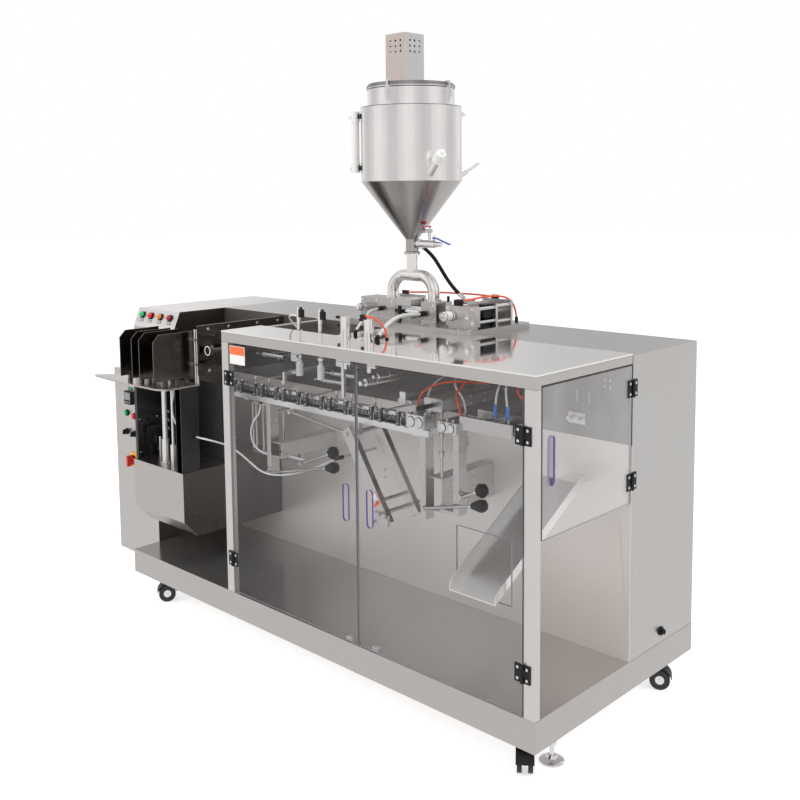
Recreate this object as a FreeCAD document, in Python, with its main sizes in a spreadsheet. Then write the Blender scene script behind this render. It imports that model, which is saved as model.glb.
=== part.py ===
import FreeCAD, Part
import Sketcher
import math
import os
import re

os.makedirs("parts", exist_ok=True)
doc = FreeCAD.newDocument("pouch_packer")
V = FreeCAD.Vector

# ---------------------------------------------------------------------------
# Driving dimensions, in millimetres.  Machine frame: x = 0 at the right end of
# the base, y = 0 at its front edge, z = 0 at its underside.
# ---------------------------------------------------------------------------
SIZES = {
    "base_len": 2312, "base_dep": 1013, "base_high": 107,
    "body_high": 1200, "wall_front": 555, "panel_t": 3,
    "column_wide": 353, "column_front": 137,
    "bay_len": 1582, "post_wide": 44, "post_deep": 28, "rail_front_high": 40, "rail_side_high": 30,
    "glass_t": 8, "door_gap": 6,
    "floor_drop": 98, "wheel_r": 37.5, "wheel_lift": 2,
    "guard_len": 395, "guard_top": 545,
    "tray_top": 930, "tray_t": 8,
    "rail_len": 1200, "rail_y": 240, "rail_top": 895,
    "pump_top": 1225, "hop_x": -1115, "hop_y": 650,
    "jacket_r": 209, "jacket_low": 1806, "jacket_high": 2107, "neck_r": 180, "neck_high": 2188,
    "pipe_r": 25,
    "off_x": 1321.8, "off_y": -452.5, "off_z": 98,
}
sheet = doc.addObject("Spreadsheet::Sheet", "dims")
for row, (key, val) in enumerate(SIZES.items(), start=1):
    sheet.set("A%d" % row, key)
    sheet.set("B%d" % row, "%g" % val)
    sheet.setAlias("B%d" % row, key)
doc.recompute()

WORD = re.compile(r"[a-z]+_[a-z_]+")


def expr(v):
    """Turn a size given as text into an expression on the sheet."""
    return WORD.sub(lambda k: "dims." + k.group(0) if k.group(0) in SIZES else k.group(0), v)


def val(v):
    """Number behind a size given as text or as a number."""
    if isinstance(v, str):
        s = WORD.sub(lambda k: "(%r)" % float(SIZES[k.group(0)]), v)
        return calc(s)
    return float(v)


def calc(s):
    """Small reader for sums, differences, products and quotients with brackets."""
    toks = re.findall(r"\d+\.?\d*|[-+*/()]", s)
    pos = [0]

    def peek():
        return toks[pos[0]] if pos[0] < len(toks) else None

    def take():
        pos[0] += 1
        return toks[pos[0] - 1]

    def atom():
        t = take()
        if t == "(":
            r = total()
            take()
            return r
        if t == "-":
            return -atom()
        if t == "+":
            return atom()
        return float(t)

    def prod():
        r = atom()
        while peek() in ("*", "/"):
            if take() == "*":
                r *= atom()
            else:
                r /= atom()
        return r

    def total():
        r = prod()
        while peek() in ("+", "-"):
            if take() == "+":
                r += prod()
            else:
                r -= prod()
        return r

    return total()


COUNT = [0]
NODES = []


def fresh(stem):
    COUNT[0] += 1
    return "%s_%03d" % (stem, COUNT[0])


def bind(obj, prop, v):
    if isinstance(v, str):
        obj.setExpression(prop, expr(v))
    else:
        obj.setExpression(prop, "%.6g" % v)


def at(obj, x, y, z, rot=None):
    obj.Placement = FreeCAD.Placement(V(val(x), val(y), val(z)), rot or FreeCAD.Rotation())
    for axis, v in (("x", x), ("y", y), ("z", z)):
        if isinstance(v, str):
            obj.setExpression("Placement.Base." + axis, expr(v))
    return obj


def box(x0, x1, y0, y1, z0, z1):
    """Block between two corners, each given as a number or a text size."""
    b = doc.addObject("Part::Box", fresh("block"))

    def span(a, c):
        if isinstance(a, str) or isinstance(c, str):
            fa = a if isinstance(a, str) else "%.6g" % a
            fc = c if isinstance(c, str) else "%.6g" % c
            return "(%s) - (%s)" % (fc, fa)
        return c - a
    bind(b, "Length", span(x0, x1))
    bind(b, "Width", span(y0, y1))
    bind(b, "Height", span(z0, z1))
    return at(b, x0, y0, z0)


DIRS = {"x": FreeCAD.Rotation(V(0, 0, 1), V(1, 0, 0)), "y": FreeCAD.Rotation(V(0, 0, 1), V(0, 1, 0)),
        "z": FreeCAD.Rotation()}


def turned(x0, x1, y0, y1, z0, z1, base, rot):
    """Block given beside a base point and turned about it."""
    return at(box(0, x1 - x0, 0, y1 - y0, 0, z1 - z0), *(base + rot.multVec(V(x0, y0, z0))), rot)


def rod(x, y, z, r, length, axis="z", angle=None):
    """Cylinder from a point along an axis name or a direction vector."""
    c = doc.addObject("Part::Cylinder", fresh("rod"))
    bind(c, "Radius", r)
    bind(c, "Height", length)
    if angle:
        c.Angle = angle
    rot = DIRS[axis] if isinstance(axis, str) else FreeCAD.Rotation(V(0, 0, 1), axis)
    return at(c, x, y, z, rot)


def bar(p, q, r):
    """Round bar between two points."""
    a, b = V(*p), V(*q)
    return rod(a.x, a.y, a.z, r, (b - a).Length, b - a)


def cone(x, y, z, r0, r1, length, axis="z"):
    c = doc.addObject("Part::Cone", fresh("cone"))
    bind(c, "Radius1", r0)
    bind(c, "Radius2", r1)
    bind(c, "Height", length)
    return at(c, x, y, z, DIRS[axis] if isinstance(axis, str) else FreeCAD.Rotation(V(0, 0, 1), axis))


def torus(x, y, z, r, t, axis="z"):
    c = doc.addObject("Part::Torus", fresh("ring"))
    bind(c, "Radius1", r)
    bind(c, "Radius2", t)
    return at(c, x, y, z, DIRS[axis] if isinstance(axis, str) else FreeCAD.Rotation(V(0, 0, 1), axis))


def fuse(parts, refine=True):
    parts = list(parts)
    if len(parts) == 1:
        return parts[0]
    f = doc.addObject("Part::MultiFuse", fresh("union"))
    f.Shapes = parts
    f.Refine = refine
    return f


def group(parts):
    g = doc.addObject("Part::Compound", fresh("set"))
    g.Links = list(parts)
    return g


def cut(base, tools, refine=True):
    tools = list(tools) if isinstance(tools, (list, tuple)) else [tools]
    tool = tools[0] if len(tools) == 1 else group(tools)
    c = doc.addObject("Part::Cut", fresh("cutout"))
    c.Base = base
    c.Tool = tool
    c.Refine = refine
    return c


PLANE = {"xy": "XY_Plane", "xz": "XZ_Plane", "yz": "YZ_Plane"}


def origin_feature(body, role):
    for f in body.Origin.OriginFeatures:
        if getattr(f, "Role", "") == role:
            return f
    raise ValueError(role)


def sketch_on(body, plane, loops):
    sk = body.newObject("Sketcher::SketchObject", fresh("outline"))
    sk.AttachmentSupport = [(origin_feature(body, PLANE[plane]), "")]
    sk.MapMode = "FlatFace"
    for loop in loops:
        if loop[0] == "circle":
            sk.addGeometry(Part.Circle(V(loop[1], loop[2], 0), V(0, 0, 1), loop[3]), False)
            continue
        n = len(loop)
        first = len(sk.Geometry)
        for i in range(n):
            a, b = loop[i], loop[(i + 1) % n]
            sk.addGeometry(Part.LineSegment(V(a[0], a[1], 0), V(b[0], b[1], 0)), False)
        for i in range(n):
            sk.addConstraint(Sketcher.Constraint("Coincident", first + i, 2, first + (i + 1) % n, 1))
    return sk


def pad(plane, loops, length, x=0, y=0, z=0, rot=None):
    """Body padded from closed outlines.  yz runs along +x, xz along -y, xy along +z."""
    body = doc.addObject("PartDesign::Body", fresh("body"))
    sk = sketch_on(body, plane, loops)
    p = body.newObject("PartDesign::Pad", fresh("pad"))
    p.Profile = sk
    bind(p, "Length", length)
    body.Tip = p
    at(body, x, y, z, rot)
    return body


def spin(loop, x=0, y=0, z=0, rot=None, angle=360):
    """Body revolved about the upright axis; outline as (radius, height) points."""
    body = doc.addObject("PartDesign::Body", fresh("body"))
    sk = sketch_on(body, "xz", [loop])
    r = body.newObject("PartDesign::Revolution", fresh("turn"))
    r.Profile = sk
    r.ReferenceAxis = (sk, ["V_Axis"])
    r.Angle = angle
    body.Tip = r
    at(body, x, y, z, rot)
    return body


def node(name, obj, shift=True):
    """Name a finished piece and move it from the machine frame to the row frame."""
    if obj.TypeId in ("Part::Box", "Part::Cylinder", "Part::Cone", "Part::Torus", "PartDesign::Body"):
        obj = group([obj])
    obj.Label = name
    for axis in "xyz":
        obj.setExpression("Placement.Base." + axis, "dims.off_" + axis)
    NODES.append((name, obj))
    return obj


LOOSE = []


def tube_shape(points, r):
    """Solid tube of straight runs and tangent arcs along a route."""
    pts = [V(*p) for p in points]
    n = len(pts)
    edges = []
    start = pts[0]
    radii = []
    for i in range(1, n - 1):
        a, b, c = pts[i - 1], pts[i], pts[i + 1]
        u = (a - b)
        w = (c - b)
        lu, lw = u.Length, w.Length
        u.normalize()
        w.normalize()
        turn = math.pi - u.getAngle(w)
        cut_back = 0.45 * min(lu, lw)
        rad = cut_back / math.tan(turn / 2)
        radii.append(round(rad, 1))
        p = b + u * cut_back
        q = b + w * cut_back
        centre_dir = (u + w)
        centre_dir.normalize()
        centre = b + centre_dir * (rad / math.cos(turn / 2))
        mid_dir = (b - centre)
        mid_dir.normalize()
        mid = centre + mid_dir * rad
        edges.append(Part.LineSegment(start, p).toShape())
        edges.append(Part.Arc(p, mid, q).toShape())
        start = q
    edges.append(Part.LineSegment(start, pts[-1]).toShape())
    wire = Part.Wire(edges)
    d = pts[1] - pts[0]
    disc = Part.Wire([Part.Circle(pts[0], d, r).toShape()])
    solid = wire.makePipeShell([disc], True, False)
    return solid, radii, wire.Length


def cord(name, routes):
    """Free tubes: a node whose shapes follow stated routes."""
    shapes = []
    for points, r in routes:
        s, radii, length = tube_shape(points, r)
        full = math.pi * r * r * length
        print("tube", name, "r", r, "bends", radii, "length %.1f" % length, "volume ratio %.4f" % (s.Volume / full))
        for k in range(len(points) - 1):
            run = (V(*points[k + 1]) - V(*points[k])).Length
            if run > max(30 * r, 60) + 0.5:
                print("   long run", k, round(run, 1))
        for b in radii:
            if b < 10 * r:
                print("   tight bend", b)
        shapes.append(s)
    f = doc.addObject("Part::Feature", fresh("tube"))
    f.Shape = shapes[0] if len(shapes) == 1 else Part.Compound(shapes)
    g = doc.addObject("Part::Compound", fresh("set"))
    g.Links = [f]
    return node(name, g)


# ---------------------------------------------------------------------------
# Base, feet and casters
# ---------------------------------------------------------------------------
node("base_tray", box("-base_len", 0, 0, "base_dep", 0, "base_high"))

FEET = [(-42, 152), (-150, 940), (-2240, 160), (-2240, 940)]
feet = []
for fx, fy in FEET:
    feet.append(spin([(0, -98), (42, -98), (42, -93), (36, -89), (19, -84), (14, -76), (8, -76), (8, -38),
                      (15, -38), (15, -28), (8, -28), (8, -10), (17, -10), (17, 0), (0, 0)], fx, fy, 0))
node("levelling_feet", group(feet))

# place of the swivel axis and heading of the wheels, in degrees from the x axis
CASTERS = {"fr": (-77.7, 54.5, -53.4), "rr": (-48, 823, 28.9), "fl": (-2099, 57, -122.4), "rl": (-2110, 850, 200)}
AXLE_Z = "wheel_r + wheel_lift - floor_drop"
TRAIL = 18
plates = []
for key, (cx, cy, head) in CASTERS.items():
    plates.append(cut(box(cx - 36, cx + 36, cy - 36, cy + 36, -5, 0), rod(cx, cy, -6, 8.05, 6.001)))
node("caster_plates", group(plates))
for key, (cx, cy, head) in CASTERS.items():
    turn = FreeCAD.Rotation(V(0, 0, 1), head)
    hood = cut(rod(TRAIL, -30, AXLE_Z, 45.5, 60, "y"), [
        rod(TRAIL, -31, AXLE_Z, 42.5, 26, "y"), rod(TRAIL, 5, AXLE_Z, 42.5, 26, "y"), box(-40, 80, -40, 40, -160, -50)])
    web = box(TRAIL - 12, TRAIL + 12, -5, 5, -70, -40)
    neck = rod(0, 0, -16.5, 13, 10.5)
    stem = rod(0, 0, -8, 8, 7)
    fork = cut(fuse([hood, web, neck, stem]), rod(TRAIL, -6, AXLE_Z, 6.05, 12, "y"))
    node("caster_fork_" + key, group([at(fork, cx, cy, 0, turn)]))
    wheel = fuse([rod(TRAIL, -26, AXLE_Z, "wheel_r", 16, "y"), rod(TRAIL, 10, AXLE_Z, "wheel_r", 16, "y"),
                  rod(TRAIL, -11, AXLE_Z, 6, 22, "y")])
    node("caster_wheel_" + key, group([at(wheel, cx, cy, 0, turn)]))

# ---------------------------------------------------------------------------
# Cabinet, control column
# ---------------------------------------------------------------------------
wall = box("-base_len", 0, "wall_front", "wall_front + panel_t", "base_high", "body_high")
slots = []
for sx, z0, z1, w in ((-227, 1007, 1051, 12), (-175, 1006, 1050, 12), (-735, 759, 799, 18)):
    slots.append(box(sx - w / 2, sx + w / 2, 554, 559, z0, z1))
for hx, hz in ((-114, 1099), (-91, 1100), (-113, 1077), (-90, 1077), (-1130, 628), (-1127, 592), (-1195, 580), (-1193, 548)):
    slots.append(rod(hx, 554, hz, 6, 5, "y"))
node("cabinet_front_wall", cut(wall, slots))
house = [box("-base_len", 0, "wall_front + panel_t", "base_dep - panel_t", "base_high", "body_high")]
for i in range(3):
    x0 = -2312 + 10 + i * 766
    house.append(box(x0, x0 + 760, "base_dep - panel_t - 1", "base_dep", 117, 1187))
node("cabinet_housing", fuse(house))
inlet = (cut(fuse([rod(0, 775, 151, 17, 4, "x"), rod(4, 775, 151, 10, 12, "x")]), rod(2, 775, 151, 5, 20, "x")))

column = pad("yz", [[(137, 0), (1013, 0), (1013, 1200), (292, 1200), (255, 1111), (255, 915), (137, 915)]],
             "column_wide", "-base_len - column_wide")
node("control_cabinet", column)
base_plate = cut(box(-2537, -2480, 129, 137, 436, 510), rod(-2508.5, 128, 473, 7.05, 10, "y"))
node("main_switch_handle", fuse([rod(-2508.5, 119, 473, 17, 8, "y"), box(-2514.5, -2502.5, 95, 120, 447, 499),
                                 rod(-2508.5, 120, 473, 7, 15, "y")]))
dev = [base_plate, box(-2557, -2497, 119, 137, 748, 812), box(-2540, -2502, 134, 137, 818, 830)]
for bx, bz in ((-2560, 700), (-2493, 692)):
    dev.append(fuse([rod(bx, 131, bz, 16, 6, "y"), rod(bx, 121, bz, 12, 16, "y")]))
for bx, bz in ((-2565, 606), (-2495, 604)):
    dev.append(fuse([rod(bx, 131, bz, 16, 6, "y"), rod(bx, 124, bz, 12, 13, "y"), box(bx - 4, bx + 4, 112, 125, bz - 12, bz + 12)]))
node("panel_devices", group(dev))
slope = math.atan2(37, 89)
buttons = []
for bx in (-2612, -2538, -2456, -2374):
    n = V(0, -math.cos(slope), math.sin(slope))
    p = V(bx, 255 + 37 * 0.62, 1111 + 89 * 0.62)
    buttons.append(fuse([bar(p, p + n * 6, 16), bar(p, p + n * 20, 12.5)]))
node("pilot_buttons", group(buttons))

# ---------------------------------------------------------------------------
# Enclosure frame, cover and doors
# ---------------------------------------------------------------------------
node("enclosure_posts", group([
    box("-bay_len", "post_wide - bay_len", 0, "post_deep", "base_high", "body_high - rail_front_high"),
    box("-post_wide", 0, 0, "post_deep", "base_high", "body_high - rail_front_high")]))
node("enclosure_top_rails", fuse([
    box("-bay_len", 0, 0, "post_deep", "body_high - rail_front_high", "body_high"),
    box("-post_deep", 0, "post_deep", "wall_front", "body_high - rail_side_high", "body_high"),
    box("-bay_len", "post_deep - bay_len", "post_deep", "wall_front", "body_high - rail_side_high", "body_high"),
    box("post_deep - bay_len", "-post_deep", 195, 207, 1188, "body_high"),
    box(-1128, -1102, 207, "wall_front", 1180, "body_high")]))
node("top_cover", pad("xy", [[(-1582, 0), (0, 0), (0, 553), (-684, 553), (-684, 513), (-1114, 513), (-1114, 207), (-1582, 207)]],
                      6, 0, 0, 1200))


def rounded_slot(cx, cy, w, hgt, y0, y1):
    return fuse([box(cx - w / 2, cx + w / 2, y0, y1, cy - hgt / 2 + w / 2, cy + hgt / 2 - w / 2),
                 rod(cx, y0, cy - hgt / 2 + w / 2, w / 2, y1 - y0, "y"), rod(cx, y0, cy + hgt / 2 - w / 2, w / 2, y1 - y0, "y")])


door_l = cut(box(-1532, -795, 0, 8, 113, 1154), rounded_slot(-852, 636, 30, 140, -1, 9))
node("front_door_left", door_l)
door_r = cut(box(-787, -50, 0, 8, 113, 1154), [rounded_slot(-728, 636, 30, 140, -1, 9), box(-320, -94, -1, 9, 456, 671)])
node("front_door_right", door_r)
side = cut(box(-8, 0, 34, 549, 682, 1164), [fuse([box(-9, 1, 71, 101, 862, 991), rod(-9, 86, 862, 15, 10, "x"),
                                                rod(-9, 86, 991, 15, 10, "x")])])
node("side_door", side)

HINGE_Z = (254, 1014)


def hinge(axis_x, zc, sign):
    """Surface hinge of a front door: sign +1 has its door on the right of the pin."""
    yk = -7
    f0, f1 = sorted((axis_x - sign * 30, axis_x - sign * 6))
    fixed = [box(f0, f1, -4, 0, zc - 30, zc + 30)]
    for z0 in (zc - 30, zc + 12):
        g0, g1 = sorted((axis_x - sign * 2.6, axis_x - sign * 7))
        fixed += [rod(axis_x, yk, z0, 5, 18), box(g0, g1, -9.5, -2.5, z0, z0 + 18)]
    fixed.append(rod(axis_x, yk, zc - 30, 2.5, 60))
    d0, d1 = sorted((axis_x + sign * 6, axis_x + sign * 30))
    g0, g1 = sorted((axis_x + sign * 2.6, axis_x + sign * 7))
    moving = [box(d0, d1, -4, 0, zc - 30, zc + 30), rod(axis_x, yk, zc - 11.5, 5, 23), box(g0, g1, -9.5, -2.5, zc - 11.5, zc + 11.5)]
    return fuse(fixed), cut(fuse(moving), rod(axis_x, yk, zc - 13, 2.6, 26))


fixed_leaves, left_leaves, right_leaves = [], [], []
for zc in HINGE_Z:
    f, g = hinge(-1535, zc, 1)
    fixed_leaves.append(f)
    left_leaves.append(g)
    f, g = hinge(-47, zc, -1)
    fixed_leaves.append(f)
    right_leaves.append(g)
node("left_door_hinge_leaves", group(left_leaves))
node("right_door_hinge_leaves", group(right_leaves))
side_fixed, side_moving = [], []
for zc in (760, 1086):
    fixed = [box(0, 4, 558, 582, zc - 30, zc + 30)]
    for z0 in (zc - 30, zc + 12):
        fixed += [rod(7, 552, z0, 5, 18), box(2.5, 9.5, 554.6, 559, z0, z0 + 18)]
    fixed.append(rod(7, 552, zc - 30, 2.5, 60))
    moving = [box(0, 4, 522, 546, zc - 30, zc + 30), rod(7, 552, zc - 11.5, 5, 23), box(2.5, 9.5, 545, 549.4, zc - 11.5, zc + 11.5)]
    side_fixed.append(fuse(fixed))
    side_moving.append(cut(fuse(moving), rod(7, 552, zc - 13, 2.6, 26)))
node("fixed_hinge_leaves", group(fixed_leaves + side_fixed))
node("side_door_hinge_leaves", group(side_moving))
catch = []
for cx in (-854, -717):
    catch.append(box(cx - 16, cx + 16, 9, 28, 107, 122))
for cx in (-841, -713):
    catch.append(box(cx - 16, cx + 16, 9, 26, 1145, 1160))
node("door_catches", group(catch))

# ---------------------------------------------------------------------------
# Pouch magazine at the left end
# ---------------------------------------------------------------------------
node("magazine_guard", pad("yz", [[(0, 324), (74, 248), (555, 248), (555, 545), (0, 545)]], 395, -2285))
node("magazine_column", group([
    fuse([box(-1934, -1930, 0, 92, 545, 922), box(-1934, -1890, 88, 92, 545, 922), box(-1894, -1890, 0, 92, 545, 922)]),
    fuse([box(-2285, -1940, 250, 256, 545, 900), box(-2285, -1940, 250, 262, 545, 560)]),
    fuse([box(-2312, -2308, 140, 250, 545, 915), box(-2308, -2290, 150, 240, 620, 876)])]))
tray = pad("xy", [[(-2470, -78), (-2452, -86), (-2211, -102), (-1942, -92), (-1890, -70), (-1890, 105), (-2300, 105), (-2335, 60), (-2452, -50)]],
           "tray_t", 0, 0, "tray_top - tray_t")
node("magazine_tray", tray)
plates = []
for px in (-2190, -2095, -2035, -1925):
    plates.append(fuse([pad("yz", [[(-108, 960), (95, 960), (95, 1164), (-78, 1164), (-108, 1134)]], 4, px - 2),
                        box(px - 8, px + 8, -68, -52, 930, 964), box(px - 8, px + 8, 52, 68, 930, 964)]))
node("magazine_plates", group(plates))
lift = fuse([bar((-2136, 72, z0 + 42), (-2114, 62, z0 + 48), 5.5) for z0 in (660, 700, 740)] + [rod(-2110, 60, 545, 17, 113), rod(-2110, 60, 658, 12, 233), rod(-2110, 60, 545, 24, 8), rod(-2110, 60, 891, 8, 31)])
guide = fuse([rod(-2070, 74, 545, 6, 377), rod(-2070, 74, 545, 13, 90)])
link = fuse([bar((-2286, 120, 640), (-2262, 120, 545), 7), bar((-2286, 100, 640), (-2286, 140, 640), 10)])
node("magazine_lift_cylinder", group([
    lift, guide,
    fuse([rod(-1914, 100, 930, 5, 240), rod(-1898, 100, 930, 5, 240), box(-1922, -1890, 95, 105, 1010, 1022), box(-1922, -1890, 95, 105, 1120, 1132)]),
    rod(-2248, 120, 545, 7, 90)]))
pick = fuse([box(-1862, -1854, 75, 555, 975, 1193), rod(-1811, 96, 1087, 26, 16, "y"), rod(-1811, 112, 1087, 9, 90, "y"),
             box(-1854, -1786, 200, 300, 1052, 1122), rod(-1854, 120, 1150, 6, 60, "x"), rod(-1854, 150, 1020, 8, 70, "x"),
             box(-1800, -1788, 110, 160, 1010, 1030), rod(-1854, 100, 1020, 5, 40, "x")])
node("pouch_pickup_unit", pick)

# ---------------------------------------------------------------------------
# Pouch transport in the front bay
# ---------------------------------------------------------------------------
rail = fuse([box("-1850", "rail_len - 1850", 232, 250, 867, 891), box(-1836, -1826, 250, 366, 867, 891),
             box(-690, -680, 250, 366, 867, 891), box(-1836, -680, 356, 366, 867, 891)])
strip = (fuse([box(-1830, -722, 240, 252, 925, 937)] +
                         [box(sx - 6, sx + 6, 252, 555, 925, 931) for sx in (-1780, -1330, -900)]))
ring_out = fuse([box(-1800, -770, 255, 341, 900, 914), rod(-1800, 298, 900, 43, 14), rod(-770, 298, 900, 43, 14)])
ring_in = fuse([box(-1800, -770, 269, 327, 899, 915), rod(-1800, 298, 899, 29, 16), rod(-770, 298, 899, 29, 16)])
node("gripper_chain", cut(ring_out, ring_in))
sprockets = [fuse([rod(sx, 298, 891, 28.5, 24), rod(sx, 298, 860, 10, 68), box(sx - 14, sx + 14, 284, 312, 846, 860),
                   box(sx - 14, sx + 14, 312, 555, 846, 856)]) for sx in (-1800, -770)]
node("chain_rail", group([rail, strip] + sprockets))
grips = []
for k in range(-2, 6):
    for side_x in (-24, 24):
        gx = -1482 + 143 * k + side_x
        grips.append(fuse([box(gx - 8, gx + 8, 214, 230, 893, 911), box(gx - 5, gx + 5, 218, 230, 911, 927), box(gx - 8, gx + 8, 214, 230, 927, 948),
                           box(gx - 6, gx + 6, 230, 259.5 if gx > -760 else 255, 902, 911), rod(gx, 222, 948, 4, 6)]))
node("pouch_grippers", group(grips))


def channel_y(x0, x1, z0, z1, y0, y1, t=4):
    """Channel along y, open on its left side."""
    return cut(box(x0, x1, y0, y1, z0, z1), box(x0 - 1, x1 - t, y0 - 1, y1 - t, z0 + t, z1 - t))


posts = [
    fuse([box(-1589, -1562, 230, 275, 560, 867), channel_y(-1562, -1500, 637, 701, 240, 555),
          box(-1585, -1566, 275, 357, 815, 827), box(-1850, -1566, 343, 357, 815, 827),
          box(-1850, -1500, 343, 357, 590, 606), box(-1516, -1500, 343, 357, 606, 638)] +
         [rod(vx, 350, 606, 5, 209) for vx in (-1836, -1812, -1762, -1620)]),
    fuse([box(-690, -663, 230, 275, 556, 867), channel_y(-663, -600, 590, 718, 249, 555),
          box(-601, -508, 235, 280, 600, 612), box(-535, -508, 235, 280, 612, 911)]),
    fuse([rod(-612, 262, 718, 6, 255), rod(-612, 262, 800, 11, 16), rod(-612, 262, 872, 10, 12)]),
    rod(-1250, 360, 664, 5, 195, "y"),
    fuse([box(-256, -184, 547, 555, 931, 971), rod(-242, 525, 951, 8, 22, "y"), rod(-205, 525, 951, 8, 22, "y")]),
]
node("rail_brackets", group(posts))


def arm(p, q, y0, wide, deep, t=4):
    """Channel of an arm from p to q, given as (x, z); its open side is at the back."""
    a, b = V(p[0], y0, p[1]), V(q[0], y0, q[1])
    d = b - a
    rot = FreeCAD.Rotation(V(0, 0, 1), d)
    outer = at(box(0, wide, 0, deep, 0, d.Length), *(a + rot.multVec(V(-wide / 2, 0, 0))), rot)
    inner = at(box(0, wide - 2 * t, 0, deep, 0, d.Length + 40), *(a + rot.multVec(V(-wide / 2 + t, t, -20))), rot)
    return cut(outer, inner)


shaft = rod(-1030, 172, 828, 9, 230, "y")
arms = fuse([arm((-1036, 848), (-822, 514), 178, 50, 24), arm((-1036, 848), (-822, 514), 338, 50, 24), shaft,
             rod(-846, 160, 551, 8, 230, "y"), rod(-872, 170, 592, 7, 200, "y"),
             box(-1045, -1015, 232, 250, 818, 867), box(-1045, -1015, 366, 390, 818, 867), box(-1045, -1015, 355, 390, 851, 867),
             box(-877, -800, 166, 178, 512, 556), rod(-870, 156, 520, 6, 22, "y"), rod(-808, 156, 548, 6, 22, "y")])
node("link_arms", group([
    arms,
    fuse([bar((-1422, 226, 852), (-1062, 208, 823), 5.5), rod(-1422, 216, 852, 9, 24, "y"), box(-1431, -1413, 232, 240, 844, 867)]),
    fuse([bar((-1353, 222, 646), (-1182, 222, 715), 6), rod(-1353, 212, 646, 10, 60, "y"), box(-1500, -1345, 262, 270, 640, 652)]),
    fuse([bar((-1560, 222, 568), (-1200, 222, 653), 6), rod(-1575, 214, 566, 9, 16, "y"), bar((-1575, 222, 566), (-1558, 222, 568), 6)]),
    fuse([bar((-483, 222, 681), (-415, 222, 712), 6), rod(-487, 214, 680, 9, 46, "y"), box(-508, -486, 240, 260, 672, 688)]),
    fuse([bar((-660, 222, 603), (-438, 222, 657), 6), rod(-668, 214, 601, 9, 16, "y")])]))
node("adjusting_knobs", group([
    spin([(0, 0), (14, 4), (26, 16), (28, 28), (22, 40), (12, 48), (0, 50)], -1182, 222, 715, FreeCAD.Rotation(V(0, 0, 1), V(171, 0, 69))),
    spin([(0, 0), (12, 2), (19, 22), (25, 44), (22, 60), (10, 70), (0, 72)], -1200, 222, 653, FreeCAD.Rotation(V(0, 0, 1), V(360, 0, 85))),
    spin([(0, 0), (14, 4), (26, 16), (28, 28), (22, 40), (12, 48), (0, 50)], -415, 222, 712, FreeCAD.Rotation(V(0, 0, 1), V(68, 0, 31))),
    spin([(0, 0), (12, 2), (19, 22), (25, 44), (22, 60), (10, 70), (0, 72)], -438, 222, 657, FreeCAD.Rotation(V(0, 0, 1), V(222, 0, 54))),
    rod(-630, 150, 990, 9, 68, "y")]))

# ---------------------------------------------------------------------------
# Opening, filling and sealing stations
# ---------------------------------------------------------------------------
node("seal_station", group([
    fuse([box(-718, -630, 190, 290, 903, 956), box(-700, -660, 232, 250, 891, 903), box(-650, -636, 230, 280, 956, 973),
          box(-657, -573, 218, 555, 973, 1018), rod(-700, 228, 956, 6, 12), rod(-690, 270, 956, 6, 12)]),
    fuse([box(-565, -478, 190, 318, 911, 951), rod(-499, 235, 951, 6, 12), rod(-530, 300, 951, 7, 18),
          box(-478, -250, 205, 213, 930, 978), box(-478, -250, 222, 228, 938, 972), box(-478, -250, 306, 318, 930, 985),
          rod(-440, 205, 955, 6, 101, "y"), rod(-290, 205, 955, 6, 101, "y"), rod(-365, 228, 955, 16, 78, "y"),
          box(-478, -250, 228, 306, 930, 936), box(-400, -330, 318, 555, 940, 966), rod(-354, 250, 936, 7, 45), rod(-301, 250, 936, 7, 58),
          rod(-232, 285, 940, 8, 52), box(-250, -222, 275, 295, 930, 944)])]))
node("opening_station", group([
    fuse([box(-1118, -1104, 236, 248, 953, 1103), box(-1150, -1072, 238, 246, 1075, 1103), box(-1118, -1104, 248, 555, 1085, 1097)]),
    fuse([rod(-1033, 290, 1016, 14, 265, "y"), rod(-1033, 262, 1016, 7, 30, "y")]),
    fuse([rod(-1000, 330, 1040, 10, 225, "y"), rod(-1000, 300, 1040, 5, 32, "y")]),
    fuse([rod(-1430, 300, 1100, 12, 255, "y"), bar((-1430, 365, 1122), (-1427.6, 372.8, 1104), 6), rod(-1430, 270, 1100, 6, 32, "y"), box(-1455, -1405, 262, 270, 1060, 1112)]),
    fuse([box(-1500, -1460, 290, 555, 1000, 1012), box(-1486, -1474, 240, 252, 960, 1012), box(-1486, -1474, 252, 292, 1000, 1012)]),
    fuse([box(-870, -800, 300, 555, 960, 972), rod(-835, 290, 990, 13, 180, "y"), box(-850, -820, 290, 300, 960, 1004)])]))
tops = []
for cx in (-1352, -1221):
    tops.append(fuse([rod(cx, 221, 1150, 8.5, 140), rod(cx, 221, 1290, 7, 10), rod(cx - 13, 221, 1262, 5, 8, "x"), rod(cx, 221, 1075, 4, 76),
                      box(cx - 16, cx + 16, 207, 229, 1188, 1200)]))
for cx in (-1075, -943):
    tops.append(fuse([rod(cx, 222, 1206, 23, 8), rod(cx, 222, 1214, 20, 56), rod(cx, 222, 1270, 21, 11)]))
tops.append(box(-910, -866, 190, 225, 1150, 1188))
tops += ([rod(-1352, 221, 1017, 14, 58), rod(-1221, 221, 1017, 14, 58)] +
         [fuse([rod(cx, 222, 1075, 11, 105), rod(cx, 222, 1180, 14, 20)]) for cx in (-1075, -943)])
node("top_cylinders", group(tops))
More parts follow.
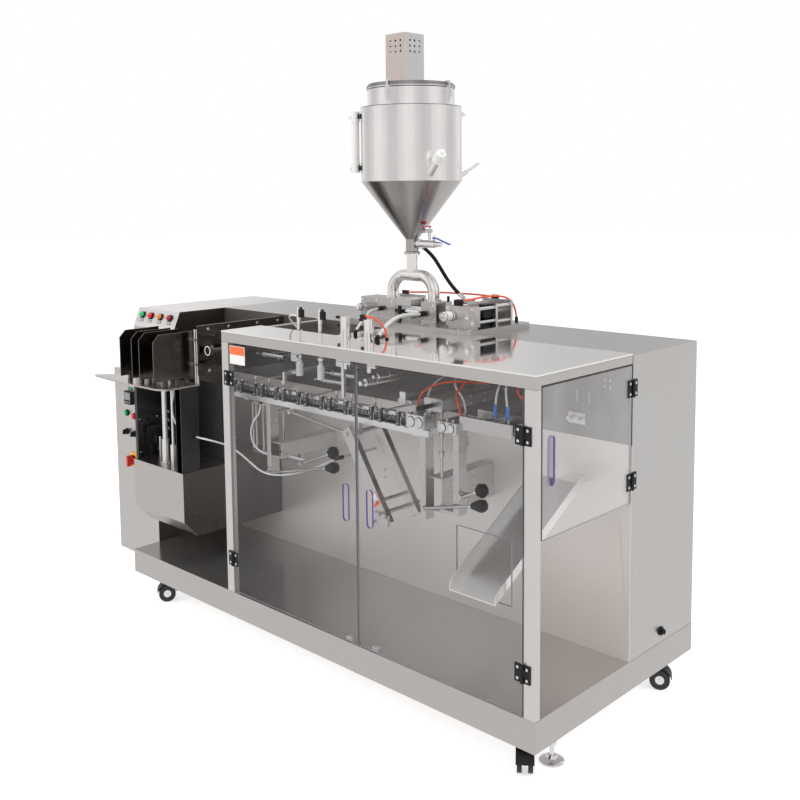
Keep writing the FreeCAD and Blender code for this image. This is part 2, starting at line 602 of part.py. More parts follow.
node("air_fittings", group(
    [inlet] + [rod(fx, 540, fz, 7, 15, "y") for fx, fz in ((-518, 1050), (-515, 1080), (-320, 1108), (-385, 1120), (-352, 1122), (-655, 1075), (-720, 1070))] +
    [rod(-1640, 241, 855, 7, 12), rod(-1597, 252, 634, 6, 8, "x"), rod(-1890, 70, 700, 7, 10, "x"), rod(-2000, 40, 912, 6, 10),
     rod(-1940, 60, 702, 6, 6, "x"), rod(-880, 255, 1206, 7, 6), rod(-735, 871, 1225, 7, 20),
     fuse([rod(-884, 206, 1206, 10, 10), bar((-893, 222, 1219.5), (-884, 206, 1215.3), 8)]),
     fuse([rod(-1062, 264, 1206, 8, 12), bar((-1075, 278, 1220.5), (-1062, 265, 1217), 6)]),
     box(-985, -962, 215, 229, 1281, 1296), box(-1306, -1276, 786, 802, 1313, 1329), box(-800, -772, 786, 802, 1324, 1340),
     box(-812, -786, 566, 592, 1313, 1335), fuse([rod(-1250, 336, 664, 9, 24, "y"), bar((-1268, 330, 655), (-1251, 345, 665), 6)])] +
    [fuse([box(cx + 8.5, cx + 26, 212, 230, 1258, 1290), rod(cx + 17, 221, 1290, 5, 10)]) for cx in (-1352, -1221)] +
    [fuse([box(cx - 47, cx - 21, 215, 229, 1271, 1281), box(cx - 39, cx - 20, 214, 230, 1240, 1252)])
     for cx in (-1075, -943)] +
    [box(-746, -719, 640, 688, 1262, 1316), box(-826, -722, 610, 680, 1225, 1243), box(-1000, -980, 700, 740, 1225, 1290),
     rod(-1008, 576, 1262, 12, 24, "y"), rod(-1250, 578, 1268, 10, 22, "y"), rod(-946, 686, 1310, 6, 22),
     rod(-1150, 609, 1225, 8, 60), rod(-900, 640, 1225, 10, 70)]))

# ---------------------------------------------------------------------------
# Discharge chute
node("discharge_chute", fuse([pad("yz", [[(-60, 474), (420, 754), (420, 757), (-60, 477)]], 190, -298),
                              pad("yz", [[(-60, 474), (420, 754), (420, 794), (-40, 520), (-60, 500)]], 3, -298),
                              pad("yz", [[(-60, 474), (420, 754), (420, 794), (-40, 520), (-60, 500)]], 3, -111),
                              box(-250, -150, 400, 555, 735, 742)]))

# Filling pump, manifold and hopper on the cabinet top
# ---------------------------------------------------------------------------
node("pump_blocks", group([
    box(-1376, -688, 516, 897, 1200, "pump_top"),
    fuse([box(-1376, -1172, 600, 700, "pump_top", 1313), rod(-1337, 582, 1272, 17, 18, "y")]),
    box(-1021, -937, 600, 700, "pump_top", 1310),
    fuse([box(-849, -700, 560, 592, 1233, 1313), box(-842, -707, 564, 588, "pump_top", 1233)]),
    box(-849, -700, 690, 702, "pump_top", 1318), box(-849, -700, 788, 800, "pump_top", 1324),
    box(-1376, -1172, 788, 800, "pump_top", 1313)]))
node("pump_cylinders", group(
    [fuse([rod(-1337, 540, 1272, 11, 42, "y"), rod(-1337, 552, 1272, 15, 12, "y")]),
     fuse([rod(-820, 500, 1272, 13, 8, "y"), rod(-820, 506, 1272, 19, 54, "y")]), rod(-736, 554, 1274, 11, 6, "y"),
     rod(-1172, 632, 1262, 13, 151, "x"), rod(-1172, 672, 1270, 9, 151, "x"),
     rod(-775, 592, 1272, 28, 98, "y"), rod(-1272, 700, 1270, 30, 88, "y"),
     rod(-775, 702, 1272, 10, 86, "y"), rod(-775, 800, 1272, 14, 30, "y"), rod(-1272, 800, 1270, 14, 30, "y")] +
    [rod(x, 592, z, 7, 98, "y") for x in (-838, -711) for z in (1250, 1302)] +
    [rod(x, 702, z, 7, 86, "y") for x in (-838, -711) for z in (1244, 1306)] +
    [rod(x, 700, z, 7, 88, "y") for x in (-1360, -1188) for z in (1244, 1300)] +
    [fuse([box(-915, -862, 682, 760, "pump_top", 1320), rod(-873.6, 695.4, 1320, 8, 10), bar((-896, 700, 1342), (-873.6, 695.4, 1329.7), 9)])]))

BX, BZ = 75, 1414
bend_l = doc.addObject("Part::Torus", fresh("bend"))
bend_r = doc.addObject("Part::Torus", fresh("bend"))
for b, cx, turn in ((bend_l, -1230 + BX, 180), (bend_r, -993 - BX, 270)):
    b.Radius1 = BX
    bind(b, "Radius2", "pipe_r")
    b.Angle3 = 90
    at(b, cx, "hop_y", BZ - BX, DIRS["y"].multiply(FreeCAD.Rotation(V(0, 0, 1), turn)))
node("manifold", fuse([rod(-1230, "hop_y", 1313, "pipe_r", BZ - BX - 1313), rod(-993, "hop_y", 1310, "pipe_r", BZ - BX - 1310),
                       rod(-1155, "hop_y", BZ, "pipe_r", 87, "x"), bend_l, bend_r, rod("hop_x", "hop_y", BZ, 24, 91),
                       rod("hop_x", "hop_y", 1498, 34, 7), rod(-1230, "hop_y", 1313, 32, 8), rod(-993, "hop_y", 1310, 32, 8)]))

HX, HY = SIZES["hop_x"], SIZES["hop_y"]
RX, RY = 0.730, 0.683      # to the right as the hopper is seen from the front right corner
TX, TY = 0.683, -0.730     # towards that corner


def hop(right, near, z):
    """Point beside the hopper axis."""
    return (HX + right * RX + near * TX, HY + right * RY + near * TY, z)


outer = spin([(0, 1505), (34, 1505), (34, 1513), (27, 1516), (27, 1565), (209, 1806), (209, 2107), (180, 2111), (180, 2188), (0, 2188)],
             "hop_x", "hop_y")
inner = spin([(0, 1504), (24, 1504), (24, 1566), (176, 1812), (176, 2189), (0, 2189)], "hop_x", "hop_y")
socket_foot = hop(75, 180, 1838)
socket_tip = hop(100, 222, 1880)
bosses = [bar(hop(-200, 0, 1863), hop(-212, 0, 1863), 8), bar(hop(-200, 0, 2075), hop(-212, 0, 2075), 8),
          bar(socket_foot, socket_tip, 21), bar(hop(205, 0, 1826), hop(234, 0, 1846), 9),
          bar(hop(195, 0, 2068), hop(222, 0, 2082), 8), bar(hop(230, 0, 1843), hop(282, 0, 1879), 6), bar((-1112, 654, 1558), (-1084, 690, 1527), 9.5),
          rod(-1100, 650, 1547, 16, 26, "x"), bar((-1090, 655, 1600), (-1050, 664, 1600), 8)]
node("hopper_shell", cut(fuse([outer] + bosses), inner))
node("hopper_lid", fuse([rod("hop_x", "hop_y", "neck_high", 184.5, 7), rod("hop_x", "hop_y", "neck_high + 7", 178, 8),
                         rod("hop_x - 17", "hop_y - 16", "neck_high + 15", 46, 14), rod("hop_x - 17", "hop_y - 16", "neck_high + 29", 38, 178)]))
mc = cut(box("hop_x - 73", "hop_x + 39", "hop_y - 72", "hop_y + 40", 2203, 2406),
         [box("hop_x - 71", "hop_x + 37", "hop_y - 70", "hop_y + 38", 2202, 2404)] +
         [rod(HX - 17 + dx, HY - 76, z, 4.5, 120, "y") for dx in (-28, 0, 28) for z in (2332, 2354, 2376)] +
         [rod(HX - 77, HY - 16 + dy, z, 4.5, 120, "x") for dy in (-28, 0, 28) for z in (2332, 2354, 2376)])
node("motor_cover", mc)
CLAMPS = [(-1074, 475), (-937, 675), (-1156, 825), (-1293, 625)]
clamps = []
for px, py in CLAMPS:
    d = V(px - HX, py - HY, 0)
    d.normalize()
    s = V(-d.y, d.x, 0)
    rot = FreeCAD.Rotation(V(0, 0, 1), math.degrees(math.atan2(d.y, d.x)))
    foot = V(HX, HY, 0) + d * 180.02
    clamps.append(fuse([turned(0, 7, -10, 10, 2124, 2186, foot, rot), turned(6.5, 10.5, -5, 5, 2130, 2206, foot, rot),
                        turned(-8, 10.5, -7, 7, 2203, 2209, foot, rot), turned(6.5, 18, -6, 6, 2140, 2174, foot, rot)]))
node("lid_clamps", group(clamps))
st = [bar(hop(-212, 0, z), hop(-256, 0, z), 10) for z in (1863, 2075)]
sx, sy, _ = hop(-232, 0, 0)
gauge = (fuse(st + [rod(sx, sy, 1875, 16, 190), rod(sx, sy, 1844, 19, 42), rod(sx, sy, 2053, 19, 42)]))
plug_dir = V(*socket_tip) - V(*socket_foot)
plug_dir.normalize()
tip = V(*socket_tip)
probe = fuse([bar(tip, tip + plug_dir * 46, 20), bar(tip + plug_dir * 46, tip + plug_dir * 62, 9)])
node("hopper_gauges", group([gauge, probe]))
drain = (fuse([rod(-1074, 650, 1547, 21, 8, "x"), rod(-1066, 650, 1547, 16, 86, "x"), rod(-980, 650, 1547, 10, 30, "x"),
                          rod(-1016, 650, 1547, 7, 33), rod(-990, 650, 1547, 5, 36)]))
blue = cut(fuse([rod(-990, 650, 1568, 9, 7), box(-990, -974, 643, 657, 1569, 1573),
                 pad("xz", [[(-976, 1569), (-976, 1573), (-904, 1549), (-904, 1545)]], 14, 0, 657, 0)]), rod(-990, 650, 1560, 5.05, 30))
node("blue_lever", blue)
node("drain_valve", group([drain, fuse([bar((-1050, 664, 1600), (-1020, 670.75, 1600), 7), rod(-1030, 668, 1590, 9, 19), rod(-1030, 668, 1609, 4, 14),
                          bar((-1024, 666, 1599), (-1016, 651, 1586), 4.5), rod(-1016, 650, 1580, 8, 13)])]))
node("red_lever", cut(fuse([rod(-1030, 668, 1615, 7, 6), box(-1036, -1024, 626, 668, 1616.5, 1620.5)]), rod(-1030, 668, 1606, 4.05, 25)))

# ---------------------------------------------------------------------------
# Hoses and air tubes; the points are the corners of their routes
# ---------------------------------------------------------------------------
cord("product_hoses", [
    ([(-1008, 576, 1262), (-1016, 500, 1267), (-995, 420, 1262), (-955, 330, 1248), (-912, 258, 1229), (-893, 222, 1219.5)], 8),
    ([(-1250, 578, 1268), (-1243, 525, 1266), (-1208, 472, 1256), (-1165, 410, 1244), (-1120, 340, 1231), (-1075, 278, 1220.5)], 5)])
cord("air_tubes_orange", [
    ([(-700, 228, 968), (-703, 234, 1008), (-680, 262, 1045), (-632, 300, 1066), (-575, 345, 1068), (-535, 400, 1060), (-520, 470, 1052),
      (-518, 540, 1050)], 4),
    ([(-499, 235, 963), (-500, 235.5, 994), (-522, 240, 1024), (-542, 268, 1052), (-545, 325, 1074), (-530, 400, 1084), (-516, 470, 1082),
      (-515, 540, 1080)], 4),
    ([(-232, 285, 992), (-236, 285.5, 1024), (-254, 288, 1050), (-290, 291, 1066), (-312, 320, 1090), (-318, 385, 1106), (-320, 460, 1110),
      (-320, 540, 1108)], 4),
    ([(-1276, 794, 1321), (-1200, 792, 1326), (-1100, 790, 1331), (-1000, 788, 1334), (-905, 790, 1335), (-848, 793, 1334), (-800, 794, 1332)], 4),
    ([(-799, 592, 1327), (-798, 640, 1329), (-778, 700, 1338), (-755, 760, 1340), (-743, 822, 1330), (-737, 864, 1292), (-735, 871, 1245)], 4),
    ([(-962, 222, 1290), (-925, 223, 1290), (-899, 238, 1270), (-884, 252, 1244), (-880, 255, 1212)], 4)])
cord("air_tubes_white", [
    ([(-1640, 241, 855), (-1642, 240, 815), (-1676, 228, 778), (-1692, 222, 728), (-1684, 226, 680), (-1660, 238, 646), (-1628, 251, 634.5),
      (-1597, 252, 634)], 4),
    ([(-1880, 70, 700), (-1838, 76, 698), (-1806, 112, 685), (-1785, 165, 662), (-1735, 196, 628), (-1665, 203, 592), (-1590, 198, 570),
      (-1500, 200, 570), (-1400, 238, 590), (-1320, 285, 625), (-1268, 330, 655)], 4),
    ([(-354, 250, 981), (-355, 252, 1020), (-362, 266, 1060), (-372, 300, 1095), (-380, 360, 1118), (-384, 440, 1122), (-385, 540, 1120)], 4),
    ([(-301, 250, 994), (-303, 251, 1030), (-318, 262, 1066), (-340, 292, 1096), (-350, 350, 1118), (-352, 440, 1124), (-352, 540, 1122)], 4),
    ([(-530, 300, 969), (-532, 300, 1000), (-555, 302, 1030), (-588, 312, 1050), (-622, 345, 1064), (-648, 400, 1073), (-655, 470, 1075),
      (-655, 540, 1075)], 4),
    ([(-690, 270, 968), (-692, 272, 1000), (-702, 300, 1030), (-712, 345, 1052), (-718, 400, 1066), (-720, 470, 1070), (-720, 540, 1070)], 4),
    ([(-1365, 221, 1262), (-1402, 223, 1264), (-1436, 240, 1248), (-1452, 275, 1216), (-1448, 318, 1182), (-1434, 352, 1152), (-1430, 365, 1122)], 4),
    ([(-2000, 40, 912), (-2005, 42, 876), (-2028, 48, 840), (-2036, 52, 790), (-2020, 56, 742), (-1984, 58, 712), (-1940, 60, 702)], 4)] +
    [([(-2290, 190, z0), (-2250, 176, z0 - 2), (-2210, 140, z0 + 12), (-2172, 100, z0 + 30), (-2136, 72, z0 + 42)], 4) for z0 in (660, 700, 740)])
cord("black_hose", [([(-1084, 690, 1527), (-1059.2, 711.9, 1499.6), (-1022, 718, 1450), (-976, 713, 1399), (-929, 706.5, 1359.5), (-896, 700, 1342)], 8)])

doc.recompute()

# ---------------------------------------------------------------------------
# Checks and export
# ---------------------------------------------------------------------------
problems = []
for o in doc.Objects:
    state = getattr(o, "State", [])
    if "Invalid" in state or "Error" in state:
        problems.append((o.Name, o.Label, list(state)))
total = FreeCAD.BoundBox()
for name, obj in NODES:
    s = obj.Shape
    if s.isNull() or not s.isValid():
        problems.append((name, "bad shape"))
        continue
    total.add(s.BoundBox)
    if not s.Solids:
        problems.append((name, "no solid"))
    for q in s.Solids:
        if q.Volume < 1:
            problems.append((name, "thin solid"))
print("bbox", [round(v, 2) for v in (total.XMin, total.XMax, total.YMin, total.YMax, total.ZMin, total.ZMax)])
print("nodes", len(NODES))
for p in problems:
    print("PROBLEM", p)
if problems:
    raise SystemExit("unsound pieces")
for name, obj in NODES:
    obj.Shape.exportStep("parts/%s.step" % name)
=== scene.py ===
import bpy
import bmesh
import math
import random
from mathutils import Matrix, Quaternion, Vector


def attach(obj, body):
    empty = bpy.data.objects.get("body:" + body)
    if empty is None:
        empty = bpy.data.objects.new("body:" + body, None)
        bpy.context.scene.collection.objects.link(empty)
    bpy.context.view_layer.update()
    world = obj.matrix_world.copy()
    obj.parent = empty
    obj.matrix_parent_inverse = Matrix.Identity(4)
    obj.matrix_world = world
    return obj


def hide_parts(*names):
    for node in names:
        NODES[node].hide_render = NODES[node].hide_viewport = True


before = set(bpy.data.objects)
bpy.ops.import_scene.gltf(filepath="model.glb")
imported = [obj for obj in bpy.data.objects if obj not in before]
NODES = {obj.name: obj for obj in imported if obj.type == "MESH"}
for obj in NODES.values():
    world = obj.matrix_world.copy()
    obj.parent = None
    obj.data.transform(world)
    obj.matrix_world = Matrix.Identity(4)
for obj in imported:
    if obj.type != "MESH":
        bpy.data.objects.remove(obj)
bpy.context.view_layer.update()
scene = bpy.context.scene
OFF = Vector((1321.8, -452.5, 98.0))
TO_ROW = Matrix.Diagonal((0.001, 0.001, 0.001, 1.0)) @ Matrix.Translation(OFF)


def P(x, y, z):
    """Machine millimetres to row-frame metres."""
    return TO_ROW @ Vector((x, y, z))


# ---------------------------------------------------------------------------
# Camera
# ---------------------------------------------------------------------------
def make_camera():
    yaw, pitch, roll = 0.7647, -0.1015, -0.0097
    fwd = Vector((-math.sin(yaw) * math.cos(pitch), math.cos(yaw) * math.cos(pitch), math.sin(pitch)))
    rgt = Vector((math.cos(yaw), math.sin(yaw), 0))
    up = rgt.cross(fwd)
    r2 = rgt * math.cos(roll) + up * math.sin(roll)
    u2 = up * math.cos(roll) - rgt * math.sin(roll)
    data = bpy.data.cameras.new("view_camera")
    data.sensor_width = 36
    data.lens = 1005.19 / 800 * 36
    data.shift_x = 0
    data.shift_y = -(400 - 297) / 800
    data.clip_start, data.clip_end = 0.05, 200
    cam = bpy.data.objects.new("view_camera", data)
    scene.collection.objects.link(cam)
    at = P(1771.38, -2434.77, 1751.47)
    cam.matrix_world = Matrix(((r2.x, u2.x, -fwd.x, at.x), (r2.y, u2.y, -fwd.y, at.y), (r2.z, u2.z, -fwd.z, at.z), (0, 0, 0, 1)))
    scene.camera = cam


make_camera()


# ---------------------------------------------------------------------------
# Materials
# ---------------------------------------------------------------------------
class Net:
    """Small helper for a node tree."""

    def __init__(self, name):
        self.mat = bpy.data.materials.new(name)
        self.mat.use_nodes = True
        self.t = self.mat.node_tree
        self.t.nodes.clear()
        self.out = self.t.nodes.new("ShaderNodeOutputMaterial")

    def n(self, kind, **kw):
        node = self.t.nodes.new(kind)
        for k, v in kw.items():
            if k.startswith("_"):
                setattr(node, k[1:], v)
            else:
                node.inputs[k.replace("__", " ")].default_value = v
        return node

    def link(self, a, b):
        self.t.links.new(a, b)

    def coords(self, scale):
        tc = self.n("ShaderNodeTexCoord")
        mp = self.n("ShaderNodeMapping")
        mp.inputs["Scale"].default_value = scale
        self.link(tc.outputs["Object"], mp.inputs["Vector"])
        return mp.outputs["Vector"]

    def noise(self, scale_vec, scale=1.0, detail=3.0, rough=0.5):
        tex = self.n("ShaderNodeTexNoise")
        tex.inputs["Scale"].default_value = scale
        tex.inputs["Detail"].default_value = detail
        tex.inputs["Roughness"].default_value = rough
        self.link(self.coords(scale_vec), tex.inputs["Vector"])
        return tex.outputs["Fac"]

    def span(self, fac, lo, hi, flo=0.3, fhi=0.7):
        mr = self.n("ShaderNodeMapRange")
        mr.inputs["From Min"].default_value = flo
        mr.inputs["From Max"].default_value = fhi
        mr.inputs["To Min"].default_value = lo
        mr.inputs["To Max"].default_value = hi
        self.link(fac, mr.inputs["Value"])
        return mr.outputs["Result"]

    def mixcol(self, fac, a, b, kind="MIX"):
        mx = self.n("ShaderNodeMix")
        mx.data_type = "RGBA"
        mx.blend_type = kind
        if isinstance(fac, float):
            mx.inputs[0].default_value = fac
        else:
            self.link(fac, mx.inputs[0])
        for sock, v in ((mx.inputs[6], a), (mx.inputs[7], b)):
            if isinstance(v, tuple):
                sock.default_value = (*v, 1.0) if len(v) == 3 else v
            else:
                self.link(v, sock)
        return mx.outputs[2]

    def math(self, op, a, b=0.0):
        m = self.n("ShaderNodeMath")
        m.operation = op
        for i, v in enumerate((a, b)):
            if isinstance(v, (int, float)):
                m.inputs[i].default_value = v
            else:
                self.link(v, m.inputs[i])
        return m.outputs[0]

    def bump(self, height, strength, distance):
        b = self.n("ShaderNodeBump")
        b.inputs["Strength"].default_value = strength
        b.inputs["Distance"].default_value = distance
        self.link(height, b.inputs["Height"])
        return b.outputs["Normal"]

    def finish(self, shader):
        self.link(shader.outputs[0], self.out.inputs["Surface"])
        return self.mat


GRAIN = {"x": (5, 330, 330), "y": (330, 5, 330), "z": (330, 330, 5), "": (160, 160, 160)}


def metal(name, col, rough, grain="z", var=0.10, rvar=0.08, bump=0.06, smudge=0.06, warm=0.0, metallic=1.0, zone=None):
    """Brushed or polished sheet metal: streaks along the grain, low wide smudges, colour a little uneven. Each zone
    (coordinate, axis, limit, colour) recolours the faces past the limit; on most materials this is painted shade and
    painted highlight by facing or height.
    """
    k = Net(name)
    streak = k.noise(GRAIN[grain], 1.0, 2.0, 0.6)
    broad = k.noise((1.7, 1.7, 1.7), 1.0, 3.0, 0.55)
    dirt = k.noise((9, 9, 9), 1.0, 4.0, 0.6)
    a = tuple(c * (1 - var) for c in col)
    b = tuple(min(1.0, c * (1 + var * 0.7)) for c in col)
    c1 = k.mixcol(k.span(streak, 0.0, 1.0), a, b)
    tint = (col[0] * (1 + warm) * 0.97, col[1] * 0.94, col[2] * (1 - warm) * 0.93)
    c2 = k.mixcol(k.span(broad, 0.0, 0.55, 0.35, 0.7), c1, tint)
    r1 = k.span(streak, rough - rvar * 0.5, rough + rvar * 0.5)
    r2 = k.math("ADD", r1, k.span(dirt, -smudge * 0.4, smudge, 0.35, 0.75))
    # Zone colours follow face direction or object height. They are painted shade and painted highlight standing in for
    # reflections, except the lid's near-black band above 2.3035 m, which is only a colour by height.
    for kind, axis, limit, other in zone or ():
        src = k.n("ShaderNodeNewGeometry" if kind == "True Normal" else "ShaderNodeTexCoord")
        sep = k.n("ShaderNodeSeparateXYZ")
        k.link(src.outputs[kind], sep.inputs[0])
        over = k.math("GREATER_THAN", sep.outputs["XYZ".index(axis)], limit)
        c2 = k.mixcol(over, c2, k.mixcol(k.span(broad, 0.0, 1.0), tuple(c * 0.85 for c in other), other))
    p = k.n("ShaderNodeBsdfPrincipled", Metallic=metallic)
    k.link(c2, p.inputs["Base Color"])
    k.link(k.math("MAXIMUM", r2, 0.02), p.inputs["Roughness"])
    if bump:
        k.link(k.bump(streak, bump, 0.0004), p.inputs["Normal"])
    return k.finish(p)


def plastic(name, col, rough=0.4, fine=900, bump=0.15, var=0.12, spec=0.5, coat=0.0, sub=0.0):
    k = Net(name)
    grain = k.noise((fine, fine, fine), 1.0, 2.0)
    broad = k.noise((30, 30, 30), 1.0, 3.0)
    c = k.mixcol(k.span(broad, 0.0, 1.0), tuple(x * (1 - var) for x in col), tuple(min(1, x * (1 + var)) for x in col))
    p = k.n("ShaderNodeBsdfPrincipled", Metallic=0.0)
    p.inputs["Specular IOR Level"].default_value = spec
    if coat:
        p.inputs["Coat Weight"].default_value = coat
        p.inputs["Coat Roughness"].default_value = 0.08
    if sub:
        p.inputs["Subsurface Weight"].default_value = sub
        p.inputs["Subsurface Radius"].default_value = (0.01, 0.01, 0.01)
    k.link(c, p.inputs["Base Color"])
    k.link(k.span(broad, rough - 0.05, rough + 0.07), p.inputs["Roughness"])
    k.link(k.bump(grain, bump, 0.0003), p.inputs["Normal"])
    return k.finish(p)


def acrylic(name, edge_axis, slots, shine, film_lo, film_hi):
    """Clear sheet that mirrors a little at a slant; its cut edges are grey, with a painted violet-blue highlight on the
    edges in the finger slots.
    edge_axis is the axis across the sheet, and slots are (axis, middle, half width) bands that all hold at a slot."""
    k = Net(name)
    tc = k.n("ShaderNodeTexCoord")
    sep = k.n("ShaderNodeSeparateXYZ")
    k.link(tc.outputs["Normal"], sep.inputs[0])
    across = k.math("ABSOLUTE", sep.outputs["XYZ".index(edge_axis.upper())])
    edge = k.math("LESS_THAN", across, 0.7)
    fres = k.n("ShaderNodeFresnel")
    fres.inputs["IOR"].default_value = 1.49
    haze = k.noise((3.2, 3.2, 1.1), 1.0, 4.0, 0.6)
    scuff = k.noise((220, 220, 14), 1.0, 2.0)
    gloss = k.n("ShaderNodeBsdfGlossy")
    gloss.inputs["Color"].default_value = (shine, shine, shine * 1.02, 1)
    k.link(k.span(scuff, 0.02, 0.07), gloss.inputs["Roughness"])
    clear = k.n("ShaderNodeBsdfTransparent")
    clear.inputs["Color"].default_value = (0.965, 0.968, 0.975, 1)
    face = k.n("ShaderNodeMixShader")
    geo = k.n("ShaderNodeNewGeometry")
    outside = k.math("SUBTRACT", 1.0, geo.outputs["Backfacing"])
    k.link(k.math("MULTIPLY", k.math("MULTIPLY", fres.outputs[0], outside), k.span(haze, 0.75, 1.15)), face.inputs[0])
    k.link(clear.outputs[0], face.inputs[1])
    k.link(gloss.outputs[0], face.inputs[2])
    film = k.n("ShaderNodeBsdfDiffuse")
    film.inputs["Color"].default_value = (0.8, 0.79, 0.78, 1)
    dusty = k.n("ShaderNodeMixShader")
    k.link(k.span(haze, film_lo, film_hi, 0.4, 0.75), dusty.inputs[0])
    k.link(face.outputs[0], dusty.inputs[1])
    k.link(film.outputs[0], dusty.inputs[2])
    where = k.n("ShaderNodeSeparateXYZ")
    k.link(tc.outputs["Object"], where.inputs[0])
    slot_highlight_mask = None
    for axis, mids, half in slots:
        near = None
        for mid in mids:
            hit = k.math("LESS_THAN", k.math("ABSOLUTE", k.math("SUBTRACT", where.outputs["XYZ".index(axis)], mid)), half)
            near = hit if near is None else k.math("MAXIMUM", near, hit)
        slot_highlight_mask = near if slot_highlight_mask is None else k.math("MULTIPLY", slot_highlight_mask, near)
    # The violet blue on the slot edges is a painted highlight. The other cut edges are plain grey.
    rim = k.n("ShaderNodeBsdfPrincipled", Roughness=0.25)
    k.link(k.mixcol(slot_highlight_mask, (0.27, 0.265, 0.29), (0.16, 0.12, 0.45)), rim.inputs["Base Color"])
    both = k.n("ShaderNodeMixShader")
    k.link(edge, both.inputs[0])
    k.link(dusty.outputs[0], both.inputs[1])
    k.link(rim.outputs[0], both.inputs[2])
    return k.finish(both)


